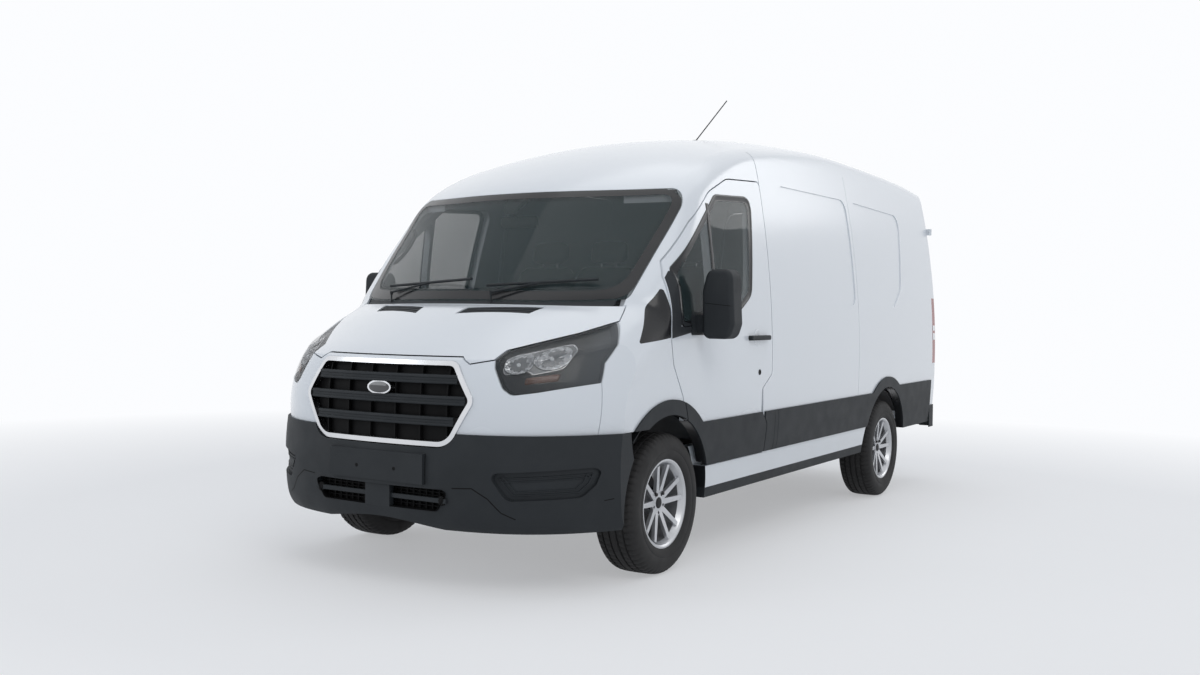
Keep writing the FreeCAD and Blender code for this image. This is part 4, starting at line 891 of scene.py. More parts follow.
def make_lamp_insides(side, sign):
    skin = skin_of("lamp_housings")
    bowls, bulbs, rims = Heap(), Heap(), Heap()

    def ahead(x, z):
        return from_front(sign * x, z)

    def lamp_spot(x, z, rise):
        return laid(skin, ahead(x, z), CAB_WAY, rise)

    for x, z, radius in BOWLS:
        rings = []
        for share, rise in BOWL_PROFILE:
            depth = FLUTE_DEPTH if FLUTED_FROM < share < FLUTED_TO else 0.0
            reach = radius * share
            rings.append([lamp_spot(x + reach * math.cos(angle), z + reach * BOWL_SQUASH * math.sin(angle),
                                    rise + depth * math.cos(angle * FLUTES)) for angle in angles(BOWL_STEPS)])
        bowls.add(lofted(rings, caps=NO_CAPS))
        middle = lamp_spot(x, z, 0.0)
        facing = (middle - lamp_spot(x, z, BEHIND_LAMP)).normalized()
        bulbs.add(turned(BULB_PROFILE, middle, facing, 24))
        rims.add(turned(BULB_RING_PROFILE, middle, facing, 32))
    add_mesh(side + "_lamp_bowls", bowls, "reflector_chrome")
    add_mesh(side + "_lamp_bulbs", bulbs, "bulb_glass")
    loop = corner_loop(CLUSTER, 6, 5)
    add_mesh(side + "_lamp_cluster", patch(skin, loop, ahead, CAB_WAY, CLUSTER_PROFILE), "cluster_grey")
    edge = [[ahead(*p) for p in drawn_in(loop, inset)] for inset, _ in CLUSTER_EDGE]
    rims.add(strip(skin, edge, CAB_WAY, [rise for _, rise in CLUSTER_EDGE]))
    add_mesh(side + "_bulb_rings", rims, "bright_trim")
    loop = corner_loop(INDICATOR, 10, 6)
    rings = [[lamp_spot(*p, rise) for p in drawn_in(loop, inset)] for inset, rise in INDICATOR_PROFILE]
    add_mesh(side + "_indicator", lofted(rings, caps=LAST_CAP), "amber_lens")


for side, sign in BOTH_SIDES:
    make_lamp_insides(side, sign)


# Seats: crowned foam forms under cloth, with sewn channels, on a hard base
DRIVER_X, DRIVER_HALF = 410.0, 250.0
BENCH_X0, BENCH_X1 = -840, 60
BENCH_PLACES = (-615, -165)
SEAT_BASE_LOW, SEAT_BASE_HIGH = 602.0, 842.0
SEAT_FRONT_Y, SEAT_REAR_Y = 702, 1120.0
BASE_INSET, BASE_CORNER = 46, 26
COVER_Y = (760, 1150)
COVER_THICK, COVER_INSET = 18, 22
COVER_DOWN, COVER_UP = 70, 40
CUSHION = [(648, 838), (900, 822), (1112, 820), (1160, 855), (1168, 925), (1085, 957), (900, 962), (725, 966),
           (655, 945), (638, 905)]
BACKREST = [(1110, 870), (1185, 868), (1218, 1100), (1290, 1400), (1315, 1520), (1282, 1566), (1235, 1560),
            (1190, 1440), (1138, 1240), (1112, 1050)]
HEADREST = [(1252, 1606), (1330, 1606), (1346, 1670), (1344, 1728), (1310, 1742), (1282, 1730), (1264, 1670)]
HEADREST_HALF = 122
STALK_APART = 52.0
STALK_LINE = ((1288, 1520), (1292, 1565), (1296, 1618))
STALK_R = 0.006
SEAT_GAP, BACK_INSET = 3, 12
# How each form is filled, squared at its ends and sewn: lengthwise channels, side bolsters, seams round it
CUSHION_FORM = {"fill": 0.7, "ends": 7.0, "channels": ((0.60, 7.0),), "bolster": 9.0,
                "seams": ((0.585, 6.0), (0.70, 5.0), (0.0, 3.0))}
BACK_FORM = {"fill": 0.7, "ends": 6.0, "channels": ((0.58, 7.0),), "bolster": 11.0,
             "seams": ((0.66, 4.0), (0.80, 6.0), (0.90, 5.0))}
HEADREST_FORM = {"fill": 0.8, "ends": 4.5, "channels": (), "bolster": 0.0, "seams": ((0.52, 3.0),),
                 "width_steps": 28}
FORM_STEPS = 12
END_EASE = 1.6
CHANNEL_HALF, SEAM_HALF = 0.022, 0.008
BOLSTER_AT, BOLSTER_HALF, BOLSTER_REACH = 0.80, 0.16, 30
END_PULL, MOST_PULL = 0.92, 0.97


def smooth_loop(points, steps):
    """Closed Catmull-Rom curve through (y, z) points."""
    count = len(points)
    loop = []
    for i in range(count):
        p0, p1, p2, p3 = (Vector(points[(i + k) % count]) for k in (-1, 0, 1, 2))
        for k in range(steps):
            t = k / steps
            square = (2 * p0 - 5 * p1 + 4 * p2 - p3) * t * t
            cube = (3 * p1 - p0 - 3 * p2 + p3) * t ** 3
            loop.append(0.5 * (2 * p1 + (p2 - p0) * t + square + cube))
    return loop


def hump(away, half):
    """1 at no distance, falling off smoothly over a half width."""
    return math.exp(-(away / half) ** 2)


def foam(name, outline, x0, x1, node, fill, ends, channels, bolster, seams, width_steps=48):
    """Crowned closed form: an outline swept across, drawn in at its ends, with channels and seams."""
    loop = smooth_loop(outline, FORM_STEPS)
    centre = sum(loop, Vector((0, 0))) / len(loop)
    half = (x1 - x0) / 2
    rings = []
    for s in range(width_steps + 1):
        u = -1 + 2 * s / width_steps
        u = math.copysign(1 - (1 - abs(u)) ** END_EASE, u)
        end_share = (1 - abs(u) ** ends) ** (1 / ends)
        channel = sum(depth * hump(abs(u) - line, CHANNEL_HALF) for line, depth in channels)
        swell = bolster * hump(abs(u) - BOLSTER_AT, BOLSTER_HALF)
        ring = []
        for i, point in enumerate(loop):
            reach = (centre - point).length
            pull = (1 - end_share) * reach * END_PULL + channel
            for line, depth in seams:
                away = abs(i / len(loop) - line)
                pull += depth * hump(min(away, 1 - away), SEAM_HALF)
            if reach > BOLSTER_REACH:
                pull -= swell
            y, z = point + (centre - point) / reach * min(pull, reach * MOST_PULL)
            ring.append(at(x0 + half + u * half, y, z))
        rings.append(ring)
    piece = add_mesh(name, lofted(rings), "seat_cloth", sharp=70)
    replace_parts(piece, node)


def rounded_box(x0, x1, y0, y1, z0, z1, radius, steps=5):
    """Box with rounded upright corners and soft top and foot edges."""
    loop = corner_loop([(x0, y0, radius), (x1, y0, radius), (x1, y1, radius), (x0, y1, radius)], 3, steps)
    soft = min(radius * 0.4, (z1 - z0) * 0.3)
    rings = []
    for inset, z in ((soft, z0), (0.0, z0 + soft), (0.0, z1 - soft), (soft, z1)):
        rings.append([at(p.x, p.y, z) for p in drawn_in(loop, inset)])
    return lofted(rings)


def make_seat(name, node, x0, x1, places):
    """One seat: hard base and side covers, cushion, back, and a headrest on two stalks at each place."""
    base = Heap()
    base.add(rounded_box(x0 + BASE_INSET, x1 - BASE_INSET, SEAT_FRONT_Y, SEAT_REAR_Y, SEAT_BASE_LOW,
                         SEAT_BASE_HIGH, BASE_CORNER))
    cover_low, cover_high = SEAT_BASE_HIGH - COVER_DOWN, SEAT_BASE_HIGH + COVER_UP
    for x in (x0 + COVER_INSET, x1 - COVER_INSET - COVER_THICK):
        base.add(rounded_box(x, x + COVER_THICK, *COVER_Y, cover_low, cover_high, 8))
    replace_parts(add_mesh(name + "_base", base, "dash_plastic"), node)
    width = (x1 - x0) / len(places)
    for i, (tag, centre) in enumerate(zip("abc", places)):
        low, high = x0 + width * i + SEAT_GAP, x0 + width * (i + 1) - SEAT_GAP
        foam(name + "_cushion_" + tag, CUSHION, low, high, node, **CUSHION_FORM)
        foam(name + "_back_" + tag, BACKREST, low + BACK_INSET, high - BACK_INSET, node, **BACK_FORM)
        foam(name + "_headrest_" + tag, HEADREST, centre - HEADREST_HALF, centre + HEADREST_HALF, node,
             **HEADREST_FORM)
        stalks = Heap()
        for x in (centre - STALK_APART, centre + STALK_APART):
            stalks.add(tube([at(x, y, z) for y, z in STALK_LINE], STALK_R))
        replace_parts(add_mesh(name + "_stalks_" + tag, stalks, "bright_trim"), node)


make_seat("driver_seat", "driver_seat", DRIVER_X - DRIVER_HALF, DRIVER_X + DRIVER_HALF, [DRIVER_X])
make_seat("passenger_bench", "passenger_seat", BENCH_X0, BENCH_X1, BENCH_PLACES)


# Steering wheel: padded rim, three swept spokes and a boss, on the leaned column
WHEEL_CENTRE = (410.0, 520.0, 1190.0)
COLUMN_TILT = math.radians(38)
COLUMN_R = 0.021
COLUMN_FROM, COLUMN_TO = 0.068, 0.030
GRIP_R, GRIP_THICK = 0.190, 0.0155
GRIP_SHARE, THUMB_SWELL, GRIP_OVAL = 0.92, 0.10, 0.03
THUMB_AT, THUMB_HALF = 0.45, 0.09
RIM_STEPS, GRIP_STEPS, SPOKE_STEPS = 96, 16, 8
BOSS_LINE = [(-78, 34, 26), (78, 34, 26), (62, -52, 34), (-62, -52, 34)]
BOSS_REACH = 55.0
BOSS_PROFILE = ((9.0, -34.0), (0.0, -26.0), (0.0, -2.0), (5.0, 4.0), (22.0, 8.0), (50.0, 9.5))
# Each spoke: its direction round the wheel and its width in millimetres
SPOKES = ((0.12, 24.0), (math.pi - 0.12, 24.0), (-math.pi / 2, 30.0))
SPOKE_SECTION = ((-1, -0.004), (-0.8, 0.004), (0.8, 0.004), (1, -0.004), (0.8, -0.009), (-0.8, -0.009))
SPOKE_FROM, SPOKE_INTO_RIM = 0.045, 0.048
SPOKE_WAIST, SPOKE_DIP, SPOKE_SINK = 0.35, 0.012, 0.002


def make_steering_wheel():
    centre = at(*WHEEL_CENTRE)
    facing = (CAB_WAY * math.cos(COLUMN_TILT) + CAB_UP * math.sin(COLUMN_TILT)).normalized()
    up = (CAB_UP * math.cos(COLUMN_TILT) - CAB_WAY * math.sin(COLUMN_TILT)).normalized()
    rings = []
    for angle in angles(RIM_STEPS, 1):
        out = LEFT_WAY * math.cos(angle) + up * math.sin(angle)
        thumb = sum(hump(math.sin((angle - a) / 2), THUMB_HALF) for a in (THUMB_AT, math.pi - THUMB_AT))
        ring = []
        for turn in angles(GRIP_STEPS):
            radius = GRIP_THICK * (GRIP_SHARE + THUMB_SWELL * thumb - GRIP_OVAL * math.cos(2 * turn))
            ring.append(centre + out * (GRIP_R + radius * math.cos(turn)) + facing * radius * math.sin(turn))
        rings.append(ring)
    grip = add_mesh("steering_grip", lofted(rings, caps=NO_CAPS), "dash_plastic", "steering", sharp=60)
    boss_line = corner_loop(BOSS_LINE, 5, 6)
    rings = []
    for inset, lift in BOSS_PROFILE:
        shrunk = [p * (1 - inset / BOSS_REACH) for p in boss_line]
        rings.append([centre + (LEFT_WAY * p.x + up * p.y + facing * lift) / 1000 for p in shrunk])
    boss = Heap().add(lofted(rings))
    for angle, wide in SPOKES:
        out = LEFT_WAY * math.cos(angle) + up * math.sin(angle)
        across = facing.cross(out)
        rings = []
        for share in shares(SPOKE_STEPS):
            width = wide * (1 - SPOKE_WAIST * math.sin(math.pi * share)) / 1000
            spine = centre + out * (SPOKE_FROM + (GRIP_R - SPOKE_INTO_RIM) * share)
            sink = -SPOKE_DIP * (1 - share) - SPOKE_SINK
            rings.append([spine + across * a * width / 2 + facing * (sink + b) for a, b in SPOKE_SECTION])
        boss.add(lofted(rings))
    boss.add(tube([centre - facing * COLUMN_FROM, centre - facing * COLUMN_TO], COLUMN_R, 24))
    hub = add_mesh("steering_boss", boss, "dash_plastic", "steering")
    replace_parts(grip, "steering_wheel")
    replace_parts(hub, "steering_wheel")


make_steering_wheel()


# Dash: instrument hood, screens, air vents, column stalks and gear lever
HOOD_PROFILE = ((235, 0), (250, 66), (330, 78), (372, 60), (378, 8))
HOOD_HALF, HOOD_Z, HOOD_STEPS = 168, 1268, 16
CONSOLE_SCREEN = (-70, 70, 352, 372, 1145, 1275, 12)
SCREEN_FACES = ((-60, 60, 368, 374, 1155, 1265, 6), (300, 520, 362, 366, 1232, 1300, 6))
VENT_X = (-760, -150, 150, 640)
VENT_WIDE = 110
VENT_Y_AND_Z = (366, 392, 1165, 1222)
SLAT_Y = (388, 395)
SLAT_LOW, SLATS, SLAT_PITCH, SLAT_THICK, SLAT_INSET = 1172, 4, 12, 4, 8
COLUMN_STALK = ((0, 440, 1140), (120, 452, 1156), (165, 462, 1164))
LEVER = ((30, 372, 960), (30, 430, 1010), (30, 455, 1075))
STALK_ROD_R, LEVER_R = 0.008, 0.009
KNOB_PLACE = (30, 455, 1080)
KNOB_PROFILE = [(0.0, 0.05), (0.018, 0.045), (0.024, 0.02), (0.02, 0.0), (0.008, -0.01)]


def make_dash_details():
    rings = []
    for y, rise in HOOD_PROFILE:
        ring = []
        for share in shares(HOOD_STEPS):
            a = math.pi * share
            ring.append(at(DRIVER_X - HOOD_HALF * math.cos(a), y, HOOD_Z + rise * math.sin(a) ** 0.5))
        rings.append(ring)
    fittings = Heap().add(lofted(rings, closed=False, caps=NO_CAPS)).add(rounded_box(*CONSOLE_SCREEN))
    for x in VENT_X:
        fittings.add(rounded_box(x, x + VENT_WIDE, *VENT_Y_AND_Z, 10))
    for sign in (-1, 1):
        fittings.add(tube([at(DRIVER_X + sign * x, y, z) for x, y, z in COLUMN_STALK], STALK_ROD_R))
    fittings.add(tube([at(*p) for p in LEVER], LEVER_R))
    fittings.add(turned(KNOB_PROFILE, at(*KNOB_PLACE), CAB_UP, 24))
    add_mesh("dash_fittings", fittings, "dash_plastic")
    faces = Heap()
    for box in SCREEN_FACES:
        faces.add(rounded_box(*box))
    add_mesh("dash_screens", faces, "screen_glass")
    slats = Heap()
    for x in VENT_X:
        for number in range(SLATS):
            z = SLAT_LOW + SLAT_PITCH * number
            low, high = x + SLAT_INSET, x + VENT_WIDE - SLAT_INSET
            slats.add(rounded_box(low, high, *SLAT_Y, z, z + SLAT_THICK, 1.5))
    add_mesh("vent_slats", slats, "bright_trim", slot="dash_plastic")


make_dash_details()


# Inside mirror and sensor housing at the head of the windscreen, and grab handles beside it
HOUSING_SECTION = ((-1, 0.0), (-0.92, 0.75), (-0.6, 1.0), (0.6, 1.0), (0.92, 0.75), (1, 0.0))
HOUSING_STEPS, FIRST_ON_GLASS = 8, 3
INSIDE_MIRROR = [(-118, 1742, 22), (118, 1742, 22), (118, 1806, 26), (-118, 1806, 26)]
MIRROR_PROFILE = ((16.0, 74), (3.0, 82), (0.0, 96), (0.0, 108))
MIRROR_STEM = ((0, 82, 1782), (0, 58, 1800), (0, 44, 1832))
STEM_R = 0.007
MIRROR_FACE_Y, MIRROR_FACE_IN = 107, 2.0
HOUSING_Y, HOUSING_LENGTH = 128, 118
HOUSING_HALF, HOUSING_NARROWING = 88, 44
HOUSING_DEPTH, HOUSING_SWELL = 0.030, 0.022
UNDER_GLASS_Z, OFF_GLASS = 1500, 0.0015
GRAB_FOOT = (880, 60, 1560)
GRAB_HEAD = (300, 230, 1760)
GRAB_BOW, GRAB_POWER, GRAB_LIFT, GRAB_R = 0.045, 0.45, 0.004, 0.011


def make_screen_fittings():
    skin = skin_of("windshield")
    rings = []
    for share in shares(HOUSING_STEPS)[FIRST_ON_GLASS:]:
        y, half = HOUSING_Y - HOUSING_LENGTH * share, HOUSING_HALF - HOUSING_NARROWING * share
        depth = HOUSING_DEPTH + HOUSING_SWELL * math.sin(math.pi * min(share + 0.25, 1.0))
        rings.append([laid(skin, at(a * half, y, UNDER_GLASS_Z), CAB_UP, OFF_GLASS) - CAB_UP * depth * b
                      for a, b in HOUSING_SECTION])
    add_mesh("sensor_housing", lofted(rings), "dash_plastic", sharp=50)
    loop = corner_loop(INSIDE_MIRROR, 5, 6)
    rings = [[at(p.x, y, p.y) for p in drawn_in(loop, inset)] for inset, y in MIRROR_PROFILE]
    shell = Heap().add(lofted(rings, caps=FIRST_CAP)).add(tube([at(*p) for p in MIRROR_STEM], STEM_R))
    add_mesh("inside_mirror_shell", shell, "dash_plastic")
    face = [at(p.x, MIRROR_FACE_Y, p.y) for p in drawn_in(loop, MIRROR_FACE_IN)]
    add_mesh("inside_mirror_face", flat(face), "mirror_silver")


def make_grab_handle(side, sign):
    """From beside the pillar's foot to where a cast out of the cab meets the pillar."""
    foot, start = (at(sign * x, y, z) for x, y, z in (GRAB_FOOT, GRAB_HEAD))
    head = laid(skin_of("cab_frame"), start, LEFT_WAY * sign)
    path = bowed(foot, head, 12, LEFT_WAY * -sign, GRAB_BOW, GRAB_POWER, GRAB_LIFT)
    add_mesh(side + "_grab_handle", tube(path, GRAB_R, 14), "dash_plastic", sharp=60)


make_screen_fittings()
for side, sign in BOTH_SIDES:
    make_grab_handle(side, sign)


# Door's own part of the black corner ahead of its window: the two ends of each level across it
DOOR_CORNER = [((-25.5, 1168), (172, 1194)), ((-25.5, 1238), (172, 1238)), ((-25, 1252), (100, 1252)),
               ((-22.5, 1350), (66, 1335)), ((-6, 1466), (50, 1460)), ((30, 1506), (44, 1512))]
CORNER_COLUMNS, CORNER_ROW_STEPS = 18, 7
CORNER_BORDER_RISE, CORNER_RISE = 0.0004, 0.0034


def make_door_corner(side, sign):
    skin = skin_of(side + "_door", side + "_door_glass")
    edges = []
    for (a, b), (c, d) in zip(DOOR_CORNER[:-1], DOOR_CORNER[1:]):
        for share in shares(CORNER_ROW_STEPS)[:-1]:
            edges.append((Vector(a).lerp(Vector(c), share), Vector(b).lerp(Vector(d), share)))
    rows = []
    for number, (start, end) in enumerate(edges):
        row = []
        for i, share in enumerate(shares(CORNER_COLUMNS - 1)):
            border = i in (0, CORNER_COLUMNS - 1) or number in (0, len(edges) - 1)
            rise = CORNER_BORDER_RISE if border else CORNER_RISE
            row.append(laid(skin, from_side(sign)(*start.lerp(end, share)), LEFT_WAY * -sign, rise))
        rows.append(row)
    add_mesh(side + "_door_corner", lofted(rows, False, NO_CAPS), "dark_plastic", side + "_front_door")


# Lining of the doors' inner faces, with an armrest and a pocket
INSIDE_X = 700
DOOR_CARD = [(480, 640, 40), (1070, 640, 60), (1130, 950, 60), (1120, 1250, 60), (640, 1205, 60),
             (30, 1185, 60), (20, 1080, 50), (260, 920, 90)]
ARMREST = [(420, 900, 30), (940, 900, 40), (960, 985, 30), (400, 975, 30)]
POCKET = [(500, 690, 30), (980, 690, 40), (1000, 790, 30), (470, 780, 30)]
CARD_LAYERS = (
    (DOOR_CARD, ((1.0, 0.0004), (0.99, 0.005), (0.96, 0.007), (0.7, 0.008), (0.4, 0.008), (0.04, 0.008))),
    (ARMREST, ((1.0, 0.008), (0.985, 0.030), (0.94, 0.040), (0.6, 0.042), (0.04, 0.042))),
    (POCKET, ((1.0, 0.008), (0.985, 0.024), (0.96, 0.028), (0.6, 0.030), (0.04, 0.030))))


def make_door_card(side, sign):
    skin = skin_of(side + "_door")
    card = Heap()

    def inside(y, z):
        return at(sign * INSIDE_X, y, z)

    for outline, profile in CARD_LAYERS:
        card.add(patch(skin, corner_loop(outline, 6, 5), inside, LEFT_WAY * sign, profile))
    add_mesh(side + "_door_card", card, "dash_plastic", side + "_front_door")


for side, sign in BOTH_SIDES:
    make_door_corner(side, sign)
    make_door_card(side, sign)


# Grille: double-ribbed bar covers over the dark grid, and the dark wall of its opening
BAR_LEVELS = (966.0, 871.0, 776.0)
BAR_HALF = (462.0, 492.0, 455.0)
BAR_SECTION = ((-3.0, -0.004), (-1.0, 0.004), (3.0, 0.0065), (10.0, 0.0065), (13.0, 0.002), (24.0, 0.002),
               (27.0, 0.0065), (34.0, 0.0065), (38.0, 0.004), (40.0, -0.004))
BAR_MIDDLE = 18.5
BAR_STEPS = 48
PINCH_LENGTH, END_HEIGHT = 14.0, 0.25
GRILLE_LINE = [(406, 1069, 60), (518, 892, 50), (395, 680, 110), (-395, 680, 110), (-518, 892, 50),
               (-406, 1069, 60)]
SHROUD_IN = 17.0
SHROUD_DEPTHS = (0.006, 0.080)


def make_grille_bars():
    skin = skin_of("radiator_grille")
    bars = Heap()
    for level, half in zip(BAR_LEVELS, BAR_HALF):
        rings = []
        for i in range(BAR_STEPS + 1):
            x = -half + 2 * half * i / BAR_STEPS
            pinch = min(1.0, (half - abs(x)) / PINCH_LENGTH + END_HEIGHT)
            spine = laid(skin, from_front(x, level + BAR_MIDDLE), CAB_WAY)
            if spine is None:
                continue
            rings.append([spine + CAB_UP * ((b - BAR_MIDDLE) * pinch / 1000) - CAB_WAY * rise * pinch
                          for b, rise in BAR_SECTION])
        bars.add(lofted(rings))
    add_mesh("grille_bars", bars, "dark_plastic", sharp=28)


def make_grille_shroud():
    """Dark wall round the inside of the grille opening, from the bright frame back to the grid."""
    skin = skin_of("grille_surround")
    loop = drawn_in(corner_loop(GRILLE_LINE, 10, 8), SHROUD_IN)
    rim = [laid(skin, from_front(*point), CAB_WAY) for point in loop]
    rings = [[spot + CAB_WAY * depth for spot in rim] for depth in SHROUD_DEPTHS]
    add_mesh("grille_shroud", lofted(rings, caps=NO_CAPS), "mesh_black")


make_grille_bars()
make_grille_shroud()


# Bumper: lower intake grid and tray, tow bar ends, screw holes, seams and blank fog covers
INTAKE = [(412, 487, 25), (343, 391, 30), (-343, 391, 30), (-412, 487, 25)]
INTAKE_MOUTH_Y, INTAKE_BACK_Y = -1004.0, -958.0
GRID_HALF, GRID_PITCH, GRID_Z = 380, 38, (392, 486)
UPRIGHT_HALF, UPRIGHT_DEEP = 3, 14
GRID_LEVELS = (408, 424, 456, 472)
LEVEL_REACH, LEVEL_HALF, LEVEL_FRONT, LEVEL_BACK = 400, 2.5, 12, 2
TOW_ENDS, TOW_Y, TOW_Z = (-372.0, 372.0), -990, 440
TOW_END_PROFILE = [(0.0, 0.012), (0.012, 0.012), (0.015, 0.009), (0.021, 0.008), (0.023, 0.004),
                   (0.023, -0.02)]
SCREWS, SCREW_Z = (-115.0, 115.0), 568
SCREW_PROFILE = [(0.0, 0.0004), (0.005, 0.0004), (0.006, 0.0012), (0.008, 0.0010), (0.009, -0.0005)]
# Seams on each side of the bumper: their run of (x, z) points and width
BUMPER_SEAMS = (([(425, 500), (520, 505), (590, 462), (645, 400), (700, 372)], 5.0),
                ([(1010, 452), (985, 446)], 4.0),
                ([(287, 648), (287, 508)], 3.0))
FOG = [(596, 568, 22), (975, 592, 26), (955, 521, 38), (918, 470, 36), (676, 458, 36)]
FOG_RIDGES = ((16.0, 0.006), (32.0, 0.005))
RIDGE_INSETS = (0.0, 2.0, 5.0, 7.0)
RIDGE_SUNK = -0.001


def make_intake():
    grid = Heap()
    for x in range(-GRID_HALF, GRID_HALF + 1, GRID_PITCH):
        grid.add(rounded_box(x - UPRIGHT_HALF, x + UPRIGHT_HALF, INTAKE_BACK_Y - UPRIGHT_DEEP, INTAKE_BACK_Y,
                             *GRID_Z, 1.2, 2))
    front, back = INTAKE_BACK_Y - LEVEL_FRONT, INTAKE_BACK_Y - LEVEL_BACK
    for z in GRID_LEVELS:
        grid.add(rounded_box(-LEVEL_REACH, LEVEL_REACH, front, back, z - LEVEL_HALF, z + LEVEL_HALF, 1.0, 2))
    loop = drawn_in(corner_loop(INTAKE, 4, 4), -1.0)
    back, mouth = ([at(p.x, y, p.y) for p in loop] for y in (INTAKE_BACK_Y, INTAKE_MOUTH_Y))
    grid.add(lofted([mouth, back], caps=NO_CAPS)).add(flat(back))
    add_mesh("intake_grid", grid, "mesh_black")


def make_bumper_bolts():
    skin = skin_of("front_bumper")
    bolts = Heap()
    for x in TOW_ENDS:
        bolts.add(turned(TOW_END_PROFILE, at(x, TOW_Y, TOW_Z), -CAB_WAY, 28))
    for x in SCREWS:
        bolts.add(turned(SCREW_PROFILE, laid(skin, from_front(x, SCREW_Z), CAB_WAY), -CAB_WAY, 24))
    add_mesh("bumper_bolts", bolts, "mesh_black")


def make_bumper_lines():
    skin = skin_of("front_bumper")
    lines, covers = Heap(), Heap()
    loop = corner_loop(FOG, 8, 6)
    for sign in (-1, 1):
        for points, width in BUMPER_SEAMS:
            lines.add(seam(skin, [(sign * x, z) for x, z in points], from_front, CAB_WAY, width))
        for inset, height in FOG_RIDGES:
            rows = []
            for extra in RIDGE_INSETS:
                rows.append([from_front(sign * p.x, p.y) for p in drawn_in(loop, inset + extra)])
            covers.add(strip(skin, rows, CAB_WAY, (RIDGE_SUNK, height, height, RIDGE_SUNK)))
    add_mesh("bumper_seams", lines, "mesh_black")
    add_mesh("fog_covers", covers, "dark_plastic")


make_intake()
make_bumper_bolts()
make_bumper_lines()


# Cladding joints beside the front door's rear edge, and a black strip of painted shade over the gap between
# the corner ahead of the door and the door
GAP_SHADE_LINE = [(-41.3, 1174), (-38.8, 1250), (-37.8, 1320), (-29.4, 1400)]
CLADDING_JOINTS = (1208, 1258)
JOINT_LEAN = 14


# Painted shade: a black strip over the body's paint where it shows in the door gap
def make_gap_shade(side, sign):
    skin = skin_of("sail_panels", "cab_frame")
    edge = seam(skin, GAP_SHADE_LINE, from_side(sign), LEFT_WAY * -sign, 6.0, 0.0006)
    add_mesh(side + "_gap_shade", edge, "dark_plastic")


def make_cladding_lines(side, sign):
    skin = skin_of("side_cladding")
    lines = Heap()
    for y in CLADDING_JOINTS:
        joint = [(y, 733), (y + JOINT_LEAN, 690), (y + JOINT_LEAN, 560), (y, 507)]
        lines.add(seam(skin, joint, from_side(sign), LEFT_WAY * -sign, 4.0))
    add_mesh(side + "_cladding_joints", lines, "mesh_black")


for side, sign in BOTH_SIDES:
    make_cladding_lines(side, sign)
    make_gap_shade(side, sign)


# Mirrors: a tall and a wide-angle silver face, and the shell's seam
MIRROR_FACES = ([(1078, 1318, 24), (1216, 1318, 24), (1206, 1492, 40), (1096, 1492, 40)],
                [(1074, 1196, 28), (1206, 1196, 34), (1216, 1302, 18), (1080, 1302, 18)])
MIRROR_FACE_PROFILE = ((1.0, 0.0003), (0.985, 0.0016), (0.5, 0.0022), (0.04, 0.0024))
MIRROR_SEAM = [(1070, 1345), (1140, 1338), (1226, 1330)]
BEHIND_MIRROR_Y, AHEAD_OF_MIRROR_Y = 600, -200


def make_mirror_details(side, sign):
    skin = skin_of(side + "_mirror")
    faces = Heap()

    def behind(x, z):
        return at(sign * x, BEHIND_MIRROR_Y, z)

    def ahead(x, z):
        return at(sign * x, AHEAD_OF_MIRROR_Y, z)

    for outline in MIRROR_FACES:
        faces.add(patch(skin, corner_loop(outline, 6, 6), behind, -CAB_WAY, MIRROR_FACE_PROFILE))
    add_mesh(side + "_mirror_faces", faces, "mirror_silver", side + "_front_door")
    shell_seam = seam(skin, MIRROR_SEAM, ahead, CAB_WAY, 3.0)
    add_mesh(side + "_mirror_seam", shell_seam, "mesh_black", side + "_front_door")


for side, sign in BOTH_SIDES:
    make_mirror_details(side, sign)


# Back and load door: handles with their locks, the high brake lamp and the lamp bands
HANDLE_CUP = [(-208, 1006, 14), (-70, 1006, 14), (-70, 1066, 14), (-208, 1066, 14)]
CUP_PROFILE = ((1.0, 0.0003), (0.985, 0.004), (0.9, 0.005), (0.84, 0.0008), (0.04, 0.0006))
REAR_GRIP_X, REAR_GRIP_Z = (-196, -82), 1036
REAR_LOCK = (-90, 960)
SMALL_LOCK_PROFILE = [(0.0, 0.003), (0.006, 0.003), (0.008, 0.004), (0.012, 0.004), (0.014, -0.001)]
BRAKE_LAMP = [(-150, 2262, 8), (150, 2262, 8), (150, 2290, 8), (-150, 2290, 8)]
BRAKE_LAMP_PROFILE = ((1.0, 0.0003), (0.985, 0.006), (0.9, 0.009), (0.5, 0.009), (0.04, 0.009))
LOAD_GRIP_Y, LOAD_GRIP_Z = (1300, 1470), 1157
REAR_BOW, LOAD_BOW, BOW_POWER = 0.022, 0.024, 0.4
REAR_GRIP_R, LOAD_GRIP_R = 0.0085, 0.010
REAR_GRIP_RISE, LOAD_GRIP_RISE = 0.004, 0.003
LOAD_LOCK = (1330, 1080)
# Each tail band: where it starts and how deep it is, as shares of the lamp's height
TAIL_BANDS = ((0.36, 0.10), (0.50, 0.08))
BAND_EDGE = 0.002
BAND_RISES = (0.0002, 0.0014, 0.0014, 0.0002)
BAND_STEPS, BAND_START, BAND_SWEEP = 14, -8, 106
BAND_CENTRE_X, BAND_FORWARD, BAND_OUT = 0.93, 0.10, 0.6


def make_rear_handle():
    skin = skin_of("right_rear_door")
    ends = [laid(skin, from_back(x, REAR_GRIP_Z), -CAB_WAY, REAR_GRIP_RISE) for x in REAR_GRIP_X]
    handle = Heap().add(patch(skin, corner_loop(HANDLE_CUP, 5, 5), from_back, -CAB_WAY, CUP_PROFILE))
    handle.add(tube(bowed(*ends, 10, CAB_WAY, REAR_BOW, BOW_POWER), REAR_GRIP_R, 14))
    handle.add(turned(SMALL_LOCK_PROFILE, laid(skin, from_back(*REAR_LOCK), -CAB_WAY), CAB_WAY, 28))
    add_mesh("rear_door_handle", handle, "dark_plastic", "right_rear_leaf")


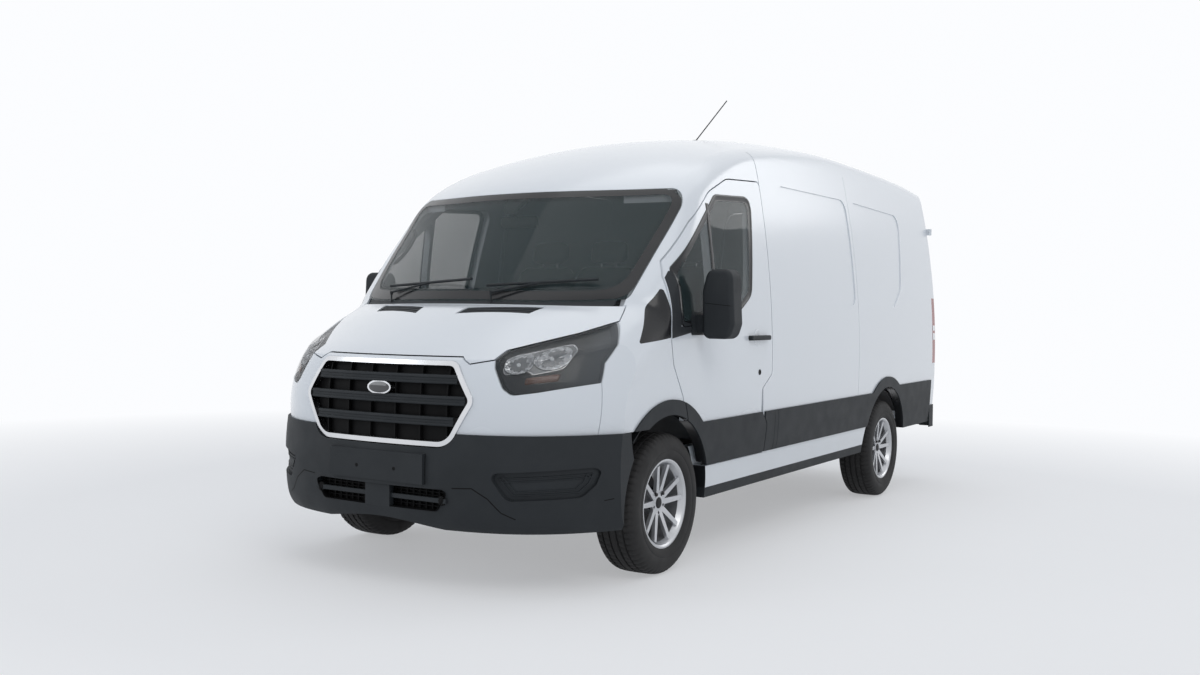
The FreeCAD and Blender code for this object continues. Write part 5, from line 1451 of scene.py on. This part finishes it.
def make_brake_lamp():
    skin = skin_of("rear_frame", "roof")
    shape = patch(skin, corner_loop(BRAKE_LAMP, 12, 4), from_back, -CAB_WAY, BRAKE_LAMP_PROFILE)
    add_mesh("high_brake_lamp", shape, "tail_lens")


def make_load_handle():
    skin = skin_of("load_door")
    place = from_side(-1)
    ends = [laid(skin, place(y, LOAD_GRIP_Z), LEFT_WAY, LOAD_GRIP_RISE) for y in LOAD_GRIP_Y]
    handle = Heap().add(tube(bowed(*ends, 12, -LEFT_WAY, LOAD_BOW, BOW_POWER), LOAD_GRIP_R, 14))
    handle.add(turned(SMALL_LOCK_PROFILE, laid(skin, place(*LOAD_LOCK), LEFT_WAY), -LEFT_WAY, 28))
    add_mesh("load_door_handle", handle, "dark_plastic")


def make_tail_bands(side, sign):
    """Pale bands round the lamp's corner, as far round as every row of casts still meets it."""
    low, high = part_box("tail_lamps")
    skin = skin_of("tail_lamps")
    bands = Heap()
    for share, deep in TAIL_BANDS:
        z0, z1 = (low.z + (high.z - low.z) * s for s in (share, share + deep))
        rings = []
        for z, rise in zip((z0, z0 + BAND_EDGE, z1 - BAND_EDGE, z1), BAND_RISES):
            ring = []
            for step in shares(BAND_STEPS):
                angle = math.radians(BAND_START + BAND_SWEEP * step)
                way = Vector((-sign * math.cos(angle), -math.sin(angle), 0))
                start = Vector((sign * BAND_CENTRE_X, high.y - BAND_FORWARD, z)) - way * BAND_OUT
                ring.append(laid(skin, start, way, rise))
            rings.append([spot for spot in ring if spot is not None])
        shortest = min(len(ring) for ring in rings)
        bands.add(lofted([ring[:shortest] for ring in rings], False, NO_CAPS))
    add_mesh(side + "_tail_bands", bands, "bulb_glass", slot="tail_lens")


make_rear_handle()
make_brake_lamp()
make_load_handle()
for side, sign in BOTH_SIDES:
    make_tail_bands(side, sign)


# Pale floor that fades into a white world, while the van's shadow stays on it nearby
FLOOR_HALF = 30.0
FADE_FROM, FADE_OVER = 4.0, 5.0
NEAR_GLOW = 0.40
STUDIO_WHITE = (0.97, 0.98, 1.0, 1)
SKY_TINT, SKY_STRENGTH = (0.86, 0.91, 1.0, 1), 0.46


def make_floor():
    pale = Finish("studio_pale", (0.65, 0.66, 0.67), Roughness=0.75)
    pale.colour(pale.noise(0.8, 3.0), (0.84, 0.85, 0.86), (0.87, 0.88, 0.89))
    side_way, along_way = pale.axis(0), pale.axis(1)
    reach = (side_way * side_way + along_way * along_way).maths("SQRT")
    far = (reach.past(FADE_FROM, FADE_OVER) * (1 - NEAR_GLOW) + NEAR_GLOW) * pale.seen_rays()
    glow = pale.node("ShaderNodeEmission", Color=STUDIO_WHITE, Strength=1.0)
    blended = pale.node("ShaderNodeMixShader", _0=far, _1=pale.shader.outputs[0], _2=glow)
    pale.tree.links.new(blended.socket, pale.tree.nodes["Material Output"].inputs["Surface"])
    corners = [(x * FLOOR_HALF, y * FLOOR_HALF, 0) for x, y in ((-1, -1), (1, -1), (1, 1), (-1, 1))]
    mesh = bpy.data.meshes.new("studio_floor")
    mesh.from_pydata(corners, [], [(0, 1, 2, 3)])
    mesh.materials.append(pale.material)
    floor = bpy.data.objects.new("studio_floor", mesh)
    bpy.context.collection.objects.link(floor)
    floor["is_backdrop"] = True


def make_world():
    world = bpy.context.scene.world or bpy.data.worlds.new("studio")
    bpy.context.scene.world = world
    world.use_nodes = True
    sky = Nodes(world.node_tree)
    soft = sky.node("ShaderNodeBackground", Color=SKY_TINT, Strength=SKY_STRENGTH)
    white = sky.node("ShaderNodeBackground", Color=STUDIO_WHITE, Strength=1.0)
    choice = sky.node("ShaderNodeMixShader", _0=sky.seen_rays(), _1=soft, _2=white)
    sky.tree.links.new(choice.socket, sky.tree.nodes["World Output"].inputs["Surface"])


def area_light(name, place, aim, size, energy, tint=(1, 1, 1)):
    data = bpy.data.lights.new(name, "AREA")
    data.shape = "RECTANGLE"
    data.size, data.size_y = size
    data.energy = energy
    data.color = tint
    light = bpy.data.objects.new(name, data)
    bpy.context.collection.objects.link(light)
    light.location = place
    light.rotation_euler = (Vector(aim) - Vector(place)).to_track_quat("-Z", "Y").to_euler()


make_floor()
make_world()
area_light("key_light", (7.5, -6.5, 8.5), (0, -1, 1), (6, 5), 235, (1.0, 0.98, 0.95))
area_light("front_fill", (-7.0, -9.0, 4.5), (0, -2, 1), (5, 5), 120, (0.92, 0.96, 1.0))
area_light("top_softbox", (0, 0, 9.5), (0, 0, 1), (7, 11), 150)
area_light("rear_rim", (6.0, 9.0, 6.0), (0, 2, 1.4), (5, 4), 110)


# Camera at the photograph's place, from its angles in degrees and its focal length in pixels
CAMERA_PLACE = (3.743, -5.070 + FRONT_AXLE_Y, 1.250)
CAMERA_YAW, CAMERA_PITCH, CAMERA_ROLL = 31.99, -0.83, 0.95
FOCAL_PIXELS = 1169.0
PICTURE_WIDTH = 1200.0
SENSOR_WIDTH = 36.0


def make_camera():
    data = bpy.data.cameras.new("photo_camera")
    data.sensor_width = SENSOR_WIDTH
    data.lens = SENSOR_WIDTH * FOCAL_PIXELS / PICTURE_WIDTH
    camera = bpy.data.objects.new("photo_camera", data)
    bpy.context.collection.objects.link(camera)
    yaw, pitch, roll = (math.radians(a) for a in (CAMERA_YAW, CAMERA_PITCH, CAMERA_ROLL))
    aim = Vector((-math.sin(yaw) * math.cos(pitch), math.cos(yaw) * math.cos(pitch), math.sin(pitch)))
    right = Vector((math.cos(yaw), math.sin(yaw), 0))
    up = right.cross(aim)
    right_rolled = right * math.cos(roll) + up * math.sin(roll)
    up_rolled = up * math.cos(roll) - right * math.sin(roll)
    turn = Matrix((right_rolled, up_rolled, -aim)).transposed()
    camera.matrix_world = Matrix.Translation(CAMERA_PLACE) @ turn.to_4x4()
    bpy.context.scene.camera = camera


make_camera()
bpy.context.scene.view_settings.view_transform = "Standard"

seen_low, seen_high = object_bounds()
sizes = {"cad": [list(cad_low), list(cad_high)], "visual": [list(seen_low), list(seen_high)]}
